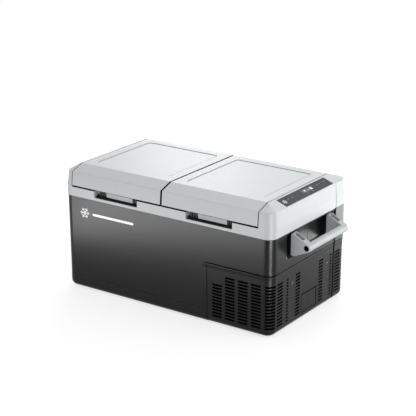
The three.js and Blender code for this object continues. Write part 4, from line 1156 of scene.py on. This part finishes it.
def add_basket(side, x0, x1, across):
    low, high, y, r = 56, 300, 172, 1.5
    wires = []
    for z in (low + r, 178, high - r):
        wires.append(wire(ring(x0 + r, x1 - r, y - r, 12, z, 5), r, True))
    def bent(span, place):
        a, b = span
        u = rounded([(a, high), (a, low + r), (b, low + r), (b, high)], [0, 9, 9, 0], 5)
        return wire([place(s, z) for s, z in u], 1.2, False)
    for k in range(1, across * 2):
        x = x0 + (x1 - x0) * k / (across * 2)
        wires.append(bent((r - y, y - r), lambda s, z, x=x: (x, s, z)))
    for k in range(1, 10):
        v = -y + 2 * y * k / 10
        wires.append(bent((x0 + r, x1 - r), lambda s, z, v=v: (s, v, z)))
    basket = together("basket", wires)
    piece(basket, f"wire_basket_{side}", f"basket_{side}", "basket_wire", [f"basket_{side}"], angle=60)


# ---- small fittings
def add_front_badge():
    """A plain snow crystal and a bar on the front, printed flush."""
    lean = math.atan(BODY_DRAFT / FRAME_BOTTOM)
    y = -(HALF_DEPTH - BODY_STEP - BODY_DRAFT * (FRAME_BOTTOM - 260) / FRAME_BOTTOM)
    stand = Matrix.Translation((0, y, 260)) @ Matrix.Rotation(math.pi / 2 + lean, 4, "X")
    lines = snowflake(17, (-322, 0))
    crystal = strokes("crystal", lines, 3.0, -0.02, 0.16)
    piece(placed(crystal, stand), "front_snow_mark", "cabinet", "print_grey")
    bar = sweep("bar", rect((-290, -120), (-4, 4), 3.8, 5), "z", [(-0.02, 0), (0.16, 0)])
    piece(placed(bar, stand), "front_bar_mark", "cabinet", "print_grey")


def add_inlet_pins():
    pins = []
    for y, z in ((-24.5, 34), (-15.5, 34), (-20, 41)):
        outline = rect((y - 1, y + 1), (z - 2, z + 2), 0.5)
        pins.append(sweep("pin", outline, "x", [(383.9, 0), (395, 0), (396, 0.5)]))
    for y in (17, 27):
        pins.append(turned("pin", [(1.6, 383.9), (1.6, 394), (0.8, 395.5)], "x", (0, y, 36), 20))
    piece(together("pins", pins), "inlet_pins", "cabinet", "steel")


def dress_frame_nodes():
    """Carried-over CAD pieces get their finish, small rounded edges and smooth shading."""
    slots = {part["node"]: part["material_slot"] for part in frame["record"]["subparts"]}
    for name, obj in frame["nodes"].items():
        if obj.hide_render:
            continue
        obj.data.materials.clear()
        obj.data.materials.append(materials[slots[name]])
        for polygon in obj.data.polygons:
            polygon.material_index = 0
            polygon.use_smooth = True
        obj.data.set_sharp_from_angle(angle=math.radians(35))
        edges = obj.modifiers.new("edges", "BEVEL")
        edges.width = 0.3 * MM
        edges.segments = 2
        edges.limit_method = "ANGLE"
        edges.angle_limit = math.radians(35)
        edges.harden_normals = False


# ---- stage
def add_floor():
    bpy.ops.mesh.primitive_plane_add(size=40)
    floor = bpy.context.object
    floor.name = "floor"
    surface("floor_white", (0.36, 0.36, 0.36), 0.9, mottle=0.004, cloud=400, grain=3, depth=0.01,
            Specular_IOR_Level=0.0, Emission_Color=(1, 1, 1, 1), Emission_Strength=0.70)
    floor.data.materials.append(materials["floor_white"])


# name: location, target and size in metres, power in watts, whether only glossy surfaces see it
LIGHTS = {
    "top_rear": ((-1.0, 2.4, 2.2), (0, 0, 0.3), (2.4, 1.4), 58, False),
    "right_fill": ((2.6, 0.6, 1.2), (0, 0, 0.2), (1.6, 1.6), 19, False),
    "front_low": ((-0.26, -0.80, 0.15), (0.04, -0.2, 0.36), (1.04, 0.26), 15.5, True),
    "corner_strip": ((1.10, -0.66, 0.17), (0.40, -0.22, 0.20), (0.30, 0.40), 25, True),
    "lid_glare": ((-1.15, 1.58, 1.05), (-0.2, -0.05, 0.42), (0.5, 0.4), 4.0, True),
    "corner_foot": ((0.67, -0.39, 0.05), (0.39, -0.21, 0.05), (0.12, 0.12), 0.8, True),
    "end_low": ((0.80, 0.56, 0.27), (0.41, 0.0, 0.27), (0.9, 0.5), 12.5, True),
}


def add_area(name, location, target, size, power, glossy_only):
    light = bpy.data.lights.new(name, "AREA")
    light.shape = "RECTANGLE"
    light.size, light.size_y = size
    light.energy = power
    obj = bpy.data.objects.new(name, light)
    obj.location = location
    obj.rotation_mode = "QUATERNION"
    obj.rotation_quaternion = (Vector(target) - Vector(location)).to_track_quat("-Z", "Y")
    obj.visible_camera = False
    obj.visible_diffuse = not glossy_only
    bpy.context.scene.collection.objects.link(obj)


def add_lights():
    world = bpy.data.worlds.new("studio")
    bpy.context.scene.world = world
    world.use_nodes = True
    world.node_tree.nodes["Background"].inputs["Color"].default_value = (1, 1, 1, 1)
    world.node_tree.nodes["Background"].inputs["Strength"].default_value = 0.85
    for name, settings in LIGHTS.items():
        add_area(name, *settings)
    bpy.context.scene.view_settings.view_transform = "Standard"


def add_camera():
    camera = bpy.data.objects.new("camera", bpy.data.cameras.new("camera"))
    camera.data.sensor_width = 36
    camera.data.lens = 116.205
    camera.data.clip_start, camera.data.clip_end = 0.05, 100
    azimuth, elevation = math.radians(34.683), math.radians(18.717)
    back = Vector((math.sin(azimuth) * math.cos(elevation), -math.cos(azimuth) * math.cos(elevation),
                   math.sin(elevation)))
    camera.location = (2.40355, -3.45617, 1.71454)
    camera.rotation_mode = "QUATERNION"
    camera.rotation_quaternion = (-back).to_track_quat("-Z", "Y")
    bpy.context.scene.collection.objects.link(camera)
    bpy.context.scene.camera = camera


add_camera()
add_lights()
add_materials()
add_floor()
add_shell()
add_tray()
add_vent()
add_frame()
add_ledge_gap_shade()
add_grip_painted_shade()
add_frame_gap_shade()
add_groove_black_strip()
add_panel()
for half_name in HALVES:
    add_lid(half_name)
    add_levers(half_name)
    add_liner(half_name)
add_handle(1)
add_handle(-1)
add_basket("left", -336, -48, 6)
add_basket("right", 27, 126, 3)
add_front_badge()
add_inlet_pins()
dress_frame_nodes()
